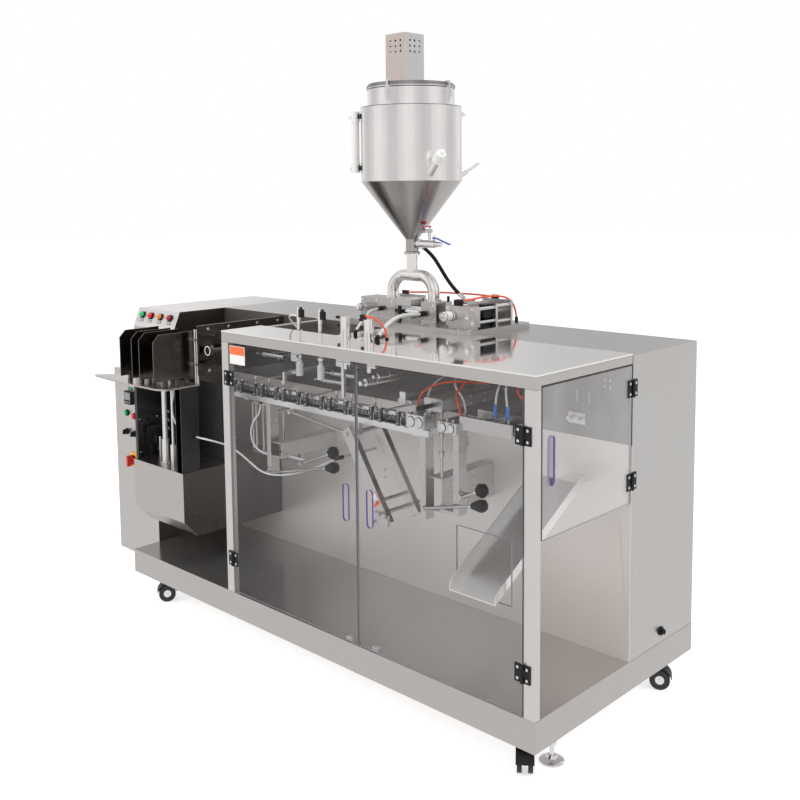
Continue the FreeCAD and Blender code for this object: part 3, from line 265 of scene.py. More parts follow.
M = {
    "panel_v": metal("steel_panel_upright", (0.58, 0.577, 0.572), 0.30, "z", var=0.012, warm=0.02, smudge=0.02, rvar=0.012, bump=0.0),
    # The column's upward faces get a pale painted highlight and its +X faces a dark painted reflection, chosen by true
    # normal.
    "column": metal("steel_column", (0.60, 0.59, 0.585), 0.30, "z", var=0.012, warm=0.02, rvar=0.012, smudge=0.02, bump=0.0,
                    zone=[("True Normal", "Z", 0.2, (0.95, 0.925, 0.92)), ("True Normal", "X", 0.7, (0.16, 0.138, 0.128))]),
    "post": metal("steel_post", (0.70, 0.69, 0.685), 0.30, "z", var=0.012, warm=0.02, smudge=0.02, rvar=0.012, bump=0.0),
    "panel_x": metal("steel_panel_along", (0.56, 0.548, 0.54), 0.28, "x", var=0.012, warm=0.02, smudge=0.02, rvar=0.012, bump=0.0),
    # The guard's +X faces get a dark painted reflection, chosen by true normal.
    "guard": metal("steel_guard", (0.55, 0.53, 0.515), 0.28, "x", var=0.012, warm=0.02, smudge=0.02, rvar=0.012, bump=0.0, zone=[("True Normal", "X", 0.7, (0.16, 0.15, 0.147))]),
    "deck": metal("steel_deck", (0.52, 0.505, 0.495), 0.16, "x", var=0.03, warm=0.02, rvar=0.03, smudge=0.06, bump=0.0, metallic=0.85),
    # The front wall above 0.983 m is made dark: painted dark reflection.
    "wall": metal("steel_wall", (0.80, 0.765, 0.74), 0.34, "x", var=0.012, warm=0.04, rvar=0.012, smudge=0.03, bump=0.0, metallic=0.55,
                  zone=[("Object", "Z", 0.983, (0.17, 0.158, 0.15))]),
    "cover": metal("steel_cover", (0.96, 0.955, 0.95), 0.07, "x", var=0.03, warm=0.01, rvar=0.02, smudge=0.03, bump=0.0),
    # The motor cover's +X faces get a near-white painted highlight, chosen by true normal.
    "motor": metal("steel_motor_cover", (0.66, 0.575, 0.55), 0.16, "z", var=0.03, warm=0.03, rvar=0.02, smudge=0.03, bump=0.0, zone=[("True Normal", "X", 0.7, (0.97, 0.965, 0.96))]),
    "lid": metal("steel_lid", (0.34, 0.335, 0.33), 0.20, "", var=0.03, rvar=0.03, bump=0.0, zone=[("Object", "Z", 2.3035, (0.02, 0.02, 0.022))]),
    "polish": metal("steel_polished", (0.88, 0.87, 0.865), 0.11, "z", var=0.04, warm=0.02, rvar=0.04, smudge=0.03, bump=0.0),
    # The hopper shell above 1.904 m is made near white while the cone below stays darker: painted reflection on one
    # steel.
    "vessel": metal("steel_vessel", (0.47, 0.46, 0.452), 0.22, "z", var=0.05, warm=0.01, rvar=0.04, smudge=0.03, bump=0.0, zone=[("Object", "Z", 1.904, (0.99, 0.965, 0.96))]),
    # The dark base colour on this steel stands in for the dark surroundings it mirrors: painted dark reflection.
    "dark_mirror": metal("steel_dark_mirror", (0.20, 0.187, 0.178), 0.20, "z", var=0.15, rvar=0.05, warm=0.04, bump=0.0),
    "dark_panel": metal("steel_dark_panel", (0.085, 0.083, 0.085), 0.30, "z", var=0.1, bump=0.0),
    "machined": metal("steel_machined", (0.62, 0.61, 0.60), 0.28, "y", var=0.03, warm=0.02, rvar=0.03, smudge=0.06, bump=0.01),
    "finger": metal("steel_finger", (0.15, 0.14, 0.132), 0.32, "z", var=0.15, rvar=0.06, bump=0.02),
    "alu": metal("alu_anodised", (0.70, 0.70, 0.69), 0.38, "x", var=0.06, smudge=0.08, bump=0.08),
    "alu_white": metal("alu_pale", (0.86, 0.86, 0.85), 0.32, "z", var=0.04, smudge=0.05),
    "chrome": metal("chrome_bright", (0.82, 0.82, 0.83), 0.07, "", var=0.02, rvar=0.03, smudge=0.03, bump=0.02),
    "zinc": metal("zinc_plated", (0.62, 0.62, 0.64), 0.33, "", var=0.10, smudge=0.15),
    "black_steel": metal("steel_blackened", (0.05, 0.05, 0.052), 0.38, "", var=0.2, smudge=0.2),
    "chain": metal("chain_steel", (0.22, 0.215, 0.21), 0.34, "", var=0.2, smudge=0.2),
    "black": plastic("black_moulded", (0.010, 0.010, 0.011), 0.45, spec=0.3),
    "rubber": plastic("black_rubber", (0.022, 0.021, 0.021), 0.62, fine=500, bump=0.3),
    "tyre": plastic("caster_tread", (0.020, 0.020, 0.020), 0.55, fine=400, bump=0.25),
    "red": plastic("red_moulded", (0.72, 0.02, 0.02), 0.32, coat=0.3),
    "blue": plastic("blue_dipped", (0.03, 0.09, 0.42), 0.38, coat=0.2),
    "white": plastic("white_nylon", (0.83, 0.83, 0.82), 0.42, fine=600, var=0.03),
    "orange_tube": plastic("tube_orange", (0.86, 0.085, 0.02), 0.25, fine=300, bump=0.05, coat=0.5, var=0.06, sub=0.15),
    "white_tube": plastic("tube_milky", (0.78, 0.78, 0.77), 0.28, fine=300, bump=0.05, coat=0.4, var=0.04, sub=0.25),
    "hose_clear": plastic("hose_milky", (0.70, 0.70, 0.69), 0.22, fine=250, bump=0.06, coat=0.5, var=0.05, sub=0.25),
    "hose_black": plastic("hose_black", (0.006, 0.006, 0.006), 0.5, fine=300, bump=0.12, spec=0.22),
    "green_lens": plastic("lens_green", (0.0, 0.50, 0.16), 0.18, fine=300, bump=0.04, coat=0.6, var=0.08, sub=0.1),
    "red_lens": plastic("lens_red", (0.80, 0.015, 0.02), 0.18, fine=300, bump=0.04, coat=0.6, var=0.08, sub=0.1),
    "amber_lens": plastic("lens_amber", (0.75, 0.27, 0.06), 0.18, fine=300, bump=0.04, coat=0.6, var=0.08, sub=0.1),
    "wine_lens": plastic("lens_wine", (0.38, 0.02, 0.05), 0.18, fine=300, bump=0.04, coat=0.6, var=0.08, sub=0.1),
    "sleeve_blue": plastic("sleeve_blue", (0.05, 0.20, 0.62), 0.35, fine=400, bump=0.08, coat=0.2),
    "amber": plastic("switch_amber", (0.95, 0.42, 0.02), 0.35, coat=0.2),
    "screen": plastic("screen_grey", (0.20, 0.22, 0.24), 0.12, fine=200, bump=0.02, coat=0.8),
    "patch_orange": plastic("patch_orange", (0.90, 0.17, 0.045), 0.40, fine=700, bump=0.08, var=0.05),
    "patch_white": plastic("patch_white", (0.88, 0.86, 0.85), 0.40, fine=700, bump=0.08, var=0.03),
    "plate_blank": plastic("plate_blank", (0.55, 0.54, 0.53), 0.35, fine=700, bump=0.08, var=0.06),
    "door_y": acrylic("acrylic_front", "y", [("X", (0.4698, 0.5938), 0.0172), ("Z", (0.734,), 0.08)], 0.42, 0.004, 0.02),
    "door_x": acrylic("acrylic_side", "x", [("Y", (-0.3665,), 0.0172), ("Z", (1.0245,), 0.085)], 0.95, 0.14, 0.26),
}

LOOK = {
    "base_tray": "deck", "cabinet_front_wall": "wall", "cabinet_housing": "panel_v", "control_cabinet": "column",
    "enclosure_posts": "post", "enclosure_top_rails": "panel_x", "top_cover": "cover", "magazine_guard": "guard",
    "magazine_tray": "deck", "magazine_plates": "dark_mirror", "magazine_column": "dark_panel", "magazine_lift_cylinder": "alu_white",
    "pouch_pickup_unit": "dark_mirror", "chain_rail": "alu_white", "gripper_chain": "chain", "pouch_grippers": "machined",
    "rail_brackets": "machined", "link_arms": "machined", "adjusting_knobs": "black", "seal_station": "machined",
    "opening_station": "alu_white", "top_cylinders": "polish", "air_fittings": "black", "pump_blocks": "machined",
    "pump_cylinders": "chrome", "manifold": "polish", "hopper_shell": "vessel", "hopper_lid": "lid", "motor_cover": "motor",
    "lid_clamps": "chrome", "hopper_gauges": "white", "drain_valve": "chrome", "blue_lever": "blue", "red_lever": "red",
    "discharge_chute": "alu_white", "door_catches": "chrome", "levelling_feet": "chrome", "caster_plates": "zinc",
    "front_door_left": "door_y", "front_door_right": "door_y", "side_door": "door_x",
    "left_door_hinge_leaves": "black", "right_door_hinge_leaves": "black", "fixed_hinge_leaves": "black", "side_door_hinge_leaves": "black",
    "main_switch_handle": "red", "panel_devices": "black", "pilot_buttons": "black",
    "product_hoses": "hose_clear", "air_tubes_orange": "orange_tube", "air_tubes_white": "white_tube", "black_hose": "hose_black",
}
for kk in ("fr", "rr", "fl", "rl"):
    LOOK["caster_fork_" + kk] = "black"
    LOOK["caster_wheel_" + kk] = "tyre"


def dress(name, mat):
    o = NODES[name]
    o.data.materials.clear()
    o.data.materials.append(M[mat])


for name in NODES:
    dress(name, LOOK[name])

SOFT_EDGES = {n: 1.2 for n in NODES}
for n in ("base_tray", "cabinet_housing", "control_cabinet", "enclosure_top_rails", "enclosure_posts", "magazine_guard", "pump_blocks"):
    SOFT_EDGES[n] = 2.0
for n in ("top_cover", "cabinet_front_wall", "discharge_chute", "motor_cover"):
    SOFT_EDGES[n] = 0.5
for n in ("front_door_left", "front_door_right", "side_door", "hopper_shell", "manifold", "product_hoses", "air_tubes_orange", "air_tubes_white", "black_hose"):
    SOFT_EDGES[n] = 0
for n in ("levelling_feet", "adjusting_knobs", "gripper_chain", "air_fittings"):
    SOFT_EDGES[n] = 0.6
for n, w in SOFT_EDGES.items():
    o = NODES[n]
    if not w:
        continue
    wd = o.modifiers.new("weld", "WELD")
    wd.merge_threshold = 0.00002
    bv = o.modifiers.new("edges", "BEVEL")
    bv.width = w * 0.001
    bv.segments = 2
    bv.limit_method = "ANGLE"
    bv.angle_limit = math.radians(40)
    for poly in o.data.polygons:
        poly.use_smooth = True
    wn = o.modifiers.new("even", "WEIGHTED_NORMAL")
    wn.mode = "FACE_AREA"
    wn.weight = 90
    wn.keep_sharp = False


# ---------------------------------------------------------------------------
# Hoses and tubes
# ---------------------------------------------------------------------------
def hose(name, node, pts, radius, mat, slot, lay="hanging", stiffness="medium"):
    cu = bpy.data.curves.new(name, "CURVE")
    cu.dimensions = "3D"
    sp = cu.splines.new("NURBS")
    sp.points.add(len(pts) - 1)
    for p, q in zip(sp.points, pts):
        p.co = (*P(*q), 1.0)
    sp.order_u = 3
    sp.use_endpoint_u = True
    sp.resolution_u = 10
    cu.bevel_depth = radius * 0.001
    cu.bevel_resolution = 5
    cu.use_fill_caps = True
    o = bpy.data.objects.new(name, cu)
    scene.collection.objects.link(o)
    cu.materials.append(M[mat])
    bare = bpy.data.objects.new(name + "_line", cu.copy())
    bare.data.bevel_depth = 0
    scene.collection.objects.link(bare)
    bpy.context.view_layer.update()
    line = bpy.data.meshes.new_from_object(bare.evaluated_get(bpy.context.evaluated_depsgraph_get()))
    bpy.data.objects.remove(bare)
    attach(o, "frame")
    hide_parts(node)
    return o


HOSES = [
    ("product_hose_a", "product_hoses", [(-1008, 576, 1262), (-1016, 500, 1267), (-995, 420, 1262), (-955, 330, 1248), (-912, 258, 1229), (-893, 222, 1219.5)], 8),
    ("product_hose_b", "product_hoses", [(-1250, 578, 1268), (-1243, 525, 1266), (-1208, 472, 1256), (-1165, 410, 1244), (-1120, 340, 1231), (-1075, 278, 1220.5)], 5),
    ("orange_tube_a", "air_tubes_orange", [(-700, 228, 968), (-703, 234, 1008), (-680, 262, 1045), (-632, 300, 1066), (-575, 345, 1068), (-535, 400, 1060), (-520, 470, 1052), (-518, 540, 1050)], 4),
    ("orange_tube_b", "air_tubes_orange", [(-499, 235, 963), (-500, 235.5, 994), (-522, 240, 1024), (-542, 268, 1052), (-545, 325, 1074), (-530, 400, 1084), (-516, 470, 1082), (-515, 540, 1080)], 4),
    ("orange_tube_c", "air_tubes_orange", [(-232, 285, 992), (-236, 285.5, 1024), (-254, 288, 1050), (-290, 291, 1066), (-312, 320, 1090), (-318, 385, 1106), (-320, 460, 1110), (-320, 540, 1108)], 4),
    ("orange_tube_d", "air_tubes_orange", [(-1276, 794, 1321), (-1200, 792, 1326), (-1100, 790, 1331), (-1000, 788, 1334), (-905, 790, 1335), (-848, 793, 1334), (-800, 794, 1332)], 4),
    ("orange_tube_e", "air_tubes_orange", [(-799, 592, 1327), (-798, 640, 1329), (-778, 700, 1338), (-755, 760, 1340), (-743, 822, 1330), (-737, 864, 1292), (-735, 871, 1245)], 4),
    ("orange_tube_f", "air_tubes_orange", [(-962, 222, 1290), (-925, 223, 1290), (-899, 238, 1270), (-884, 252, 1244), (-880, 255, 1212)], 4),
    ("white_tube_a", "air_tubes_white", [(-1640, 241, 855), (-1642, 240, 815), (-1676, 228, 778), (-1692, 222, 728), (-1684, 226, 680), (-1660, 238, 646), (-1628, 251, 634.5), (-1597, 252, 634)], 4),
    ("white_tube_b", "air_tubes_white", [(-1880, 70, 700), (-1838, 76, 698), (-1806, 112, 685), (-1785, 165, 662), (-1735, 196, 628), (-1665, 203, 592), (-1590, 198, 570), (-1500, 200, 570), (-1400, 238, 590), (-1320, 285, 625), (-1268, 330, 655)], 4),
    ("white_tube_c", "air_tubes_white", [(-354, 250, 981), (-355, 252, 1020), (-362, 266, 1060), (-372, 300, 1095), (-380, 360, 1118), (-384, 440, 1122), (-385, 540, 1120)], 4),
    ("white_tube_d", "air_tubes_white", [(-301, 250, 994), (-303, 251, 1030), (-318, 262, 1066), (-340, 292, 1096), (-350, 350, 1118), (-352, 440, 1124), (-352, 540, 1122)], 4),
    ("white_tube_e", "air_tubes_white", [(-530, 300, 969), (-532, 300, 1000), (-555, 302, 1030), (-588, 312, 1050), (-622, 345, 1064), (-648, 400, 1073), (-655, 470, 1075), (-655, 540, 1075)], 4),
    ("white_tube_f", "air_tubes_white", [(-690, 270, 968), (-692, 272, 1000), (-702, 300, 1030), (-712, 345, 1052), (-718, 400, 1066), (-720, 470, 1070), (-720, 540, 1070)], 4),
    ("white_tube_g", "air_tubes_white", [(-1365, 221, 1262), (-1402, 223, 1264), (-1436, 240, 1248), (-1452, 275, 1216), (-1448, 318, 1182), (-1434, 352, 1152), (-1430, 365, 1122)], 4),
    ("white_tube_h", "air_tubes_white", [(-2000, 40, 912), (-2005, 42, 876), (-2028, 48, 840), (-2036, 52, 790), (-2020, 56, 742), (-1984, 58, 712), (-1940, 60, 702)], 4),
    ("white_tube_i", "air_tubes_white", [(-2290, 190, 660), (-2250, 176, 658), (-2210, 140, 672), (-2172, 100, 690), (-2136, 72, 702)], 4),
    ("white_tube_j", "air_tubes_white", [(-2290, 190, 700), (-2250, 176, 698), (-2210, 140, 712), (-2172, 100, 730), (-2136, 72, 742)], 4),
    ("white_tube_k", "air_tubes_white", [(-2290, 190, 740), (-2250, 176, 738), (-2210, 140, 752), (-2172, 100, 770), (-2136, 72, 782)], 4),
    ("drain_hose", "black_hose", [(-1084, 690, 1527), (-1059.2, 711.9, 1499.6), (-1022, 718, 1450), (-976, 713, 1399), (-929, 706.5, 1359.5), (-896, 700, 1342)], 8),
]
SKIN = {"product_hoses": ("hose_clear", "clear_tube"), "air_tubes_orange": ("orange_tube", "orange_tube"),
        "air_tubes_white": ("white_tube", "clear_tube"), "black_hose": ("hose_black", "black_plastic")}
for hn, node, pts, rad in HOSES:
    hose(hn, node, pts, rad, *SKIN[node])


# ---------------------------------------------------------------------------
# Detail pieces
# ---------------------------------------------------------------------------
class Piece:
    """One object made of several machined or moulded bodies, given in machine millimetres."""

    def __init__(self, name, slot, body="frame"):
        self.name, self.slot, self.body = name, slot, body
        self.bm = bmesh.new()
        self.mats = []

    def paint(self, verts, mat):
        if mat not in self.mats:
            self.mats.append(mat)
        i = self.mats.index(mat)
        for v in verts:
            for f in v.link_faces:
                f.material_index = i

    def box(self, x0, x1, y0, y1, z0, z1, mat, turn=None, at=(0, 0, 0)):
        mid = Vector(((x0 + x1) / 2, (y0 + y1) / 2, (z0 + z1) / 2))
        m = Matrix.Translation(mid) @ Matrix.Diagonal((abs(x1 - x0), abs(y1 - y0), abs(z1 - z0), 1))
        if turn is not None:
            m = Matrix.Translation(Vector(at)) @ turn.to_matrix().to_4x4() @ m
        self.paint(bmesh.ops.create_cube(self.bm, size=1.0, matrix=TO_ROW @ m)["verts"], mat)

    def cyl(self, p, q, r, mat, r2=None, seg=24):
        p, q = Vector(p), Vector(q)
        d = q - p
        m = Matrix.Translation((p + q) / 2) @ d.to_track_quat("Z", "Y").to_matrix().to_4x4()
        new = bmesh.ops.create_cone(self.bm, cap_ends=True, segments=seg, radius1=r, radius2=r if r2 is None else r2, depth=d.length, matrix=TO_ROW @ m)
        self.paint(new["verts"], mat)

    def lathe(self, base, axis, profile, mat, seg=32, lobes=0, deep=0.0):
        """Turned body on an axis from base; profile is (radius, height) pairs, with lobes round its rim."""
        base, axis = Vector(base), Vector(axis).normalized()
        q = axis.to_track_quat("Z", "Y")
        rings = []
        for r, h in profile:
            ring = []
            for i in range(seg):
                a = 2 * math.pi * i / seg
                rr = max(r, 0.05) * (1 - deep * 0.5 * (1 - math.cos(lobes * a)) if lobes else 1)
                ring.append(self.bm.verts.new(TO_ROW @ (base + q @ Vector((rr * math.cos(a), rr * math.sin(a), h)))))
            rings.append(ring)
        for a, b in zip(rings, rings[1:]):
            for i in range(seg):
                self.bm.faces.new((a[i], a[(i + 1) % seg], b[(i + 1) % seg], b[i]))
        self.bm.faces.new(list(reversed(rings[0])))
        self.bm.faces.new(rings[-1])
        self.paint([v for ring in rings for v in ring], mat)

    def screw(self, p, axis, r=4.5, h=2.4, mat="chrome"):
        """Pan-head screw with a socket."""
        p, axis = Vector(p), Vector(axis).normalized()
        self.lathe(p, axis, [(r, 0), (r, h * 0.45), (r * 0.82, h * 0.85), (r * 0.5, h), (r * 0.44, h), (r * 0.40, h * 0.35), (0, h * 0.35)], mat, seg=16)

    def bolt(self, p, axis, r=6, h=5, mat="zinc"):
        """Hexagon head on a washer."""
        p, axis = Vector(p), Vector(axis).normalized()
        self.cyl(p, p + axis * 1.4, r * 1.35, mat, seg=20)
        self.cyl(p + axis * 1.4, p + axis * (1.4 + h), r, mat, r2=r * 0.94, seg=6)

    def done(self, bevel=0.5, covers=()):
        me = bpy.data.meshes.new(self.name)
        bmesh.ops.recalc_face_normals(self.bm, faces=self.bm.faces)
        for f in self.bm.faces:
            f.smooth = True
        self.bm.to_mesh(me)
        self.bm.free()
        for m in self.mats:
            me.materials.append(M[m])
        o = bpy.data.objects.new(self.name, me)
        scene.collection.objects.link(o)
        bv = o.modifiers.new("edges", "BEVEL")
        bv.width = bevel * 0.001
        bv.segments = 2
        bv.limit_method = "ANGLE"
        bv.angle_limit = math.radians(38)
        wn = o.modifiers.new("even", "WEIGHTED_NORMAL")
        wn.mode = "FACE_AREA"
        wn.weight = 90
        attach(o, self.body)
        if covers:
            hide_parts(*covers)
        return o


def hinge_screws():
    frame_side = Piece("hinge_screws_frame", "zinc_steel")
    left = Piece("hinge_screws_left_door", "zinc_steel", "front_door_left")
    right = Piece("hinge_screws_right_door", "zinc_steel", "front_door_right")
    side = Piece("hinge_screws_side_door", "zinc_steel", "side_door")
    for z in (254, 1014):
        for dz in (-18, 18):
            for piece, x in ((frame_side, -1553), (left, -1517), (frame_side, -29), (right, -65)):
                piece.screw((x, -4, z + dz), (0, -1, 0), 5.2, 2.8)
    for z in (760, 1086):
        for dz in (-18, 18):
            frame_side.screw((4, 570, z + dz), (1, 0, 0), 5.2, 2.8)
            side.screw((4, 534, z + dz), (1, 0, 0), 5.2, 2.8)
    for piece in (frame_side, left, right, side):
        piece.done(0.2)


def console():
    slope = math.atan2(37, 89)
    n = Vector((0, -math.cos(slope), math.sin(slope)))
    up = Vector((0, math.sin(slope), math.cos(slope)))
    turn = Matrix((Vector((1, 0, 0)), up.cross(Vector((1, 0, 0))), up)).transposed().to_quaternion()
    b = Piece("console_buttons", "button_plastic")
    for bx, lens in ((-2612, "green_lens"), (-2538, "red_lens"), (-2456, "amber_lens"), (-2374, "wine_lens")):
        p = Vector((bx, 277.94, 1166.18))
        b.box(-16, 16, -3, 0, -17, 17, "black", turn, p)
        b.cyl(p + n * 2.5, p + n * 6.5, 15.6, "black")
        b.lathe(p + n * 5, n, [(14.2, 0), (14.2, 3), (13.2, 7.5), (10.8, 11.2), (6.5, 13.9), (0, 15)], lens)
    b.done(0.5, ("pilot_buttons",))
    t = Piece("console_plates", "button_plastic")
    for bx in (-2612, -2538, -2456, -2374):
        p = Vector((bx, 277.94, 1166.18)) - up * 27
        t.box(-15, 15, -1.2, 0, -6.5, 6.5, "black", turn, p)
        t.box(-12.5, 12.5, -1.6, 0, -4.2, 4.2, "plate_blank", turn, p)
    t.done(0.2)
    d = Piece("panel_switches", "black_plastic")
    d.box(-2537, -2480, 131, 137, 436, 510, "amber")
    d.lathe((-2508.5, 131.5, 473), (0, -1, 0), [(25, 0), (24, 2), (14, 2.5), (12, 1.0), (0, 1.0)], "black")
    for x, z in ((-2531, 442), (-2486, 442), (-2531, 504), (-2486, 504)):
        d.screw((x, 131, z), (0, -1, 0), 2.6, 1.4)
    d.box(-2557, -2497, 121, 137, 748, 812, "black")
    d.box(-2552, -2502, 119.6, 121.5, 770, 806, "screen")
    d.box(-2552, -2502, 119.8, 121.5, 753, 764, "black")
    for i in range(4):
        d.cyl((-2546 + i * 12.5, 121, 758.5), (-2546 + i * 12.5, 119.0, 758.5), 3.2, "plate_blank", seg=16)
    d.box(-2540, -2502, 135, 137, 818, 830, "black")
    d.box(-2536, -2506, 134.4, 135.4, 821, 827, "green_lens")
    for x, z, lens in ((-2560, 700, "green_lens"), (-2493, 692, "red_lens")):
        d.lathe((x, 137, z), (0, -1, 0), [(16, 0), (16, 4), (14.5, 6), (12.6, 6)], "black")
        d.lathe((x, 132, z), (0, -1, 0), [(12.2, 0), (12.2, 6), (10.5, 9.5), (6, 11), (0, 11.3)], lens)
    for x, z in ((-2565, 606), (-2495, 604)):
        d.lathe((x, 137, z), (0, -1, 0), [(16, 0), (16, 4), (14.5, 6), (12.4, 6), (12, 14), (11, 15.5)], "black")
        d.box(x - 4, x + 4, 112, 124, z - 11.5, z + 11.5, "black")
        d.box(x - 0.8, x + 0.8, 111.6, 113, z + 3, z + 11, "patch_white")
    d.done(0.6, ("panel_devices",))


def grippers():
    g = Piece("gripper_fingers", "anodised_aluminium")
    for k in range(-2, 6):
        for side_x in (-24, 24):
            x = -1482 + 143 * k + side_x
            g.box(x - 8, x + 8, 214, 230, 893, 911, "finger")
            g.box(x - 5, x + 5, 218, 230, 911, 927, "finger")
            g.box(x - 8, x + 8, 214, 230, 927, 945.5, "finger")
            g.box(x - 7.6, x + 7.6, 214.4, 229.6, 945.5, 948, "chrome")
            g.box(x - 6, x + 6, 230, 259 if x > -760 else 255, 902, 911, "machined")
            g.cyl((x, 222, 948), (x, 222, 953), 4, "chrome", seg=12)
            g.screw((x, 214, 936), (0, -1, 0), 3.0, 1.6)
            g.screw((x, 214, 902), (0, -1, 0), 3.0, 1.6)
            for i in range(5):
                g.cyl((x + (9.6 if side_x < 0 else -9.6), 223, 896 + i * 6), (x + (9.6 if side_x < 0 else -9.6), 223, 898.6 + i * 6), 2.6, "chrome", seg=10)
            g.cyl((x + (9.6 if side_x < 0 else -9.6), 223, 893), (x + (9.6 if side_x < 0 else -9.6), 223, 926), 1.3, "zinc", seg=8)
    g.done(0.7, ("pouch_grippers",))
    c = Piece("roller_chain", "anodised_aluminium")
    run, rad = 1030.0, 36.0
    total = 2 * run + 2 * math.pi * rad
    count = 120

    def on_loop(s):
        s %= total
        if s < run:
            return Vector((-1800 + s, 298 - rad, 0))
        s -= run
        if s < math.pi * rad:
            a = -math.pi / 2 + s / rad
            return Vector((-770 + rad * math.cos(a), 298 + rad * math.sin(a), 0))
        s -= math.pi * rad
        if s < run:
            return Vector((-770 - s, 298 + rad, 0))
        a = math.pi / 2 + (s - run) / rad
        return Vector((-1800 + rad * math.cos(a), 298 + rad * math.sin(a), 0))

    for i in range(count):
        p, q = on_loop(total * i / count), on_loop(total * (i + 1) / count)
        d = q - p
        turn = Quaternion((0, 0, 1), math.atan2(d.y, d.x))
        half = d.length / 2 + 4.5
        gap = 0.0 if i % 2 else 1.6
        for z0, z1 in ((900 + gap, 901.5 + gap), (912.5 - gap, 914 - gap)):
            c.box(-half, half, -5, 5, z0, z1, "chain", turn, (p + q) / 2)
        c.cyl(p + Vector((0, 0, 902.5)), p + Vector((0, 0, 911.5)), 4.6, "chain", seg=12)
        c.cyl(p + Vector((0, 0, 899)), p + Vector((0, 0, 915)), 2.2, "zinc", seg=10)
    c.done(0.4, ("gripper_chain",))


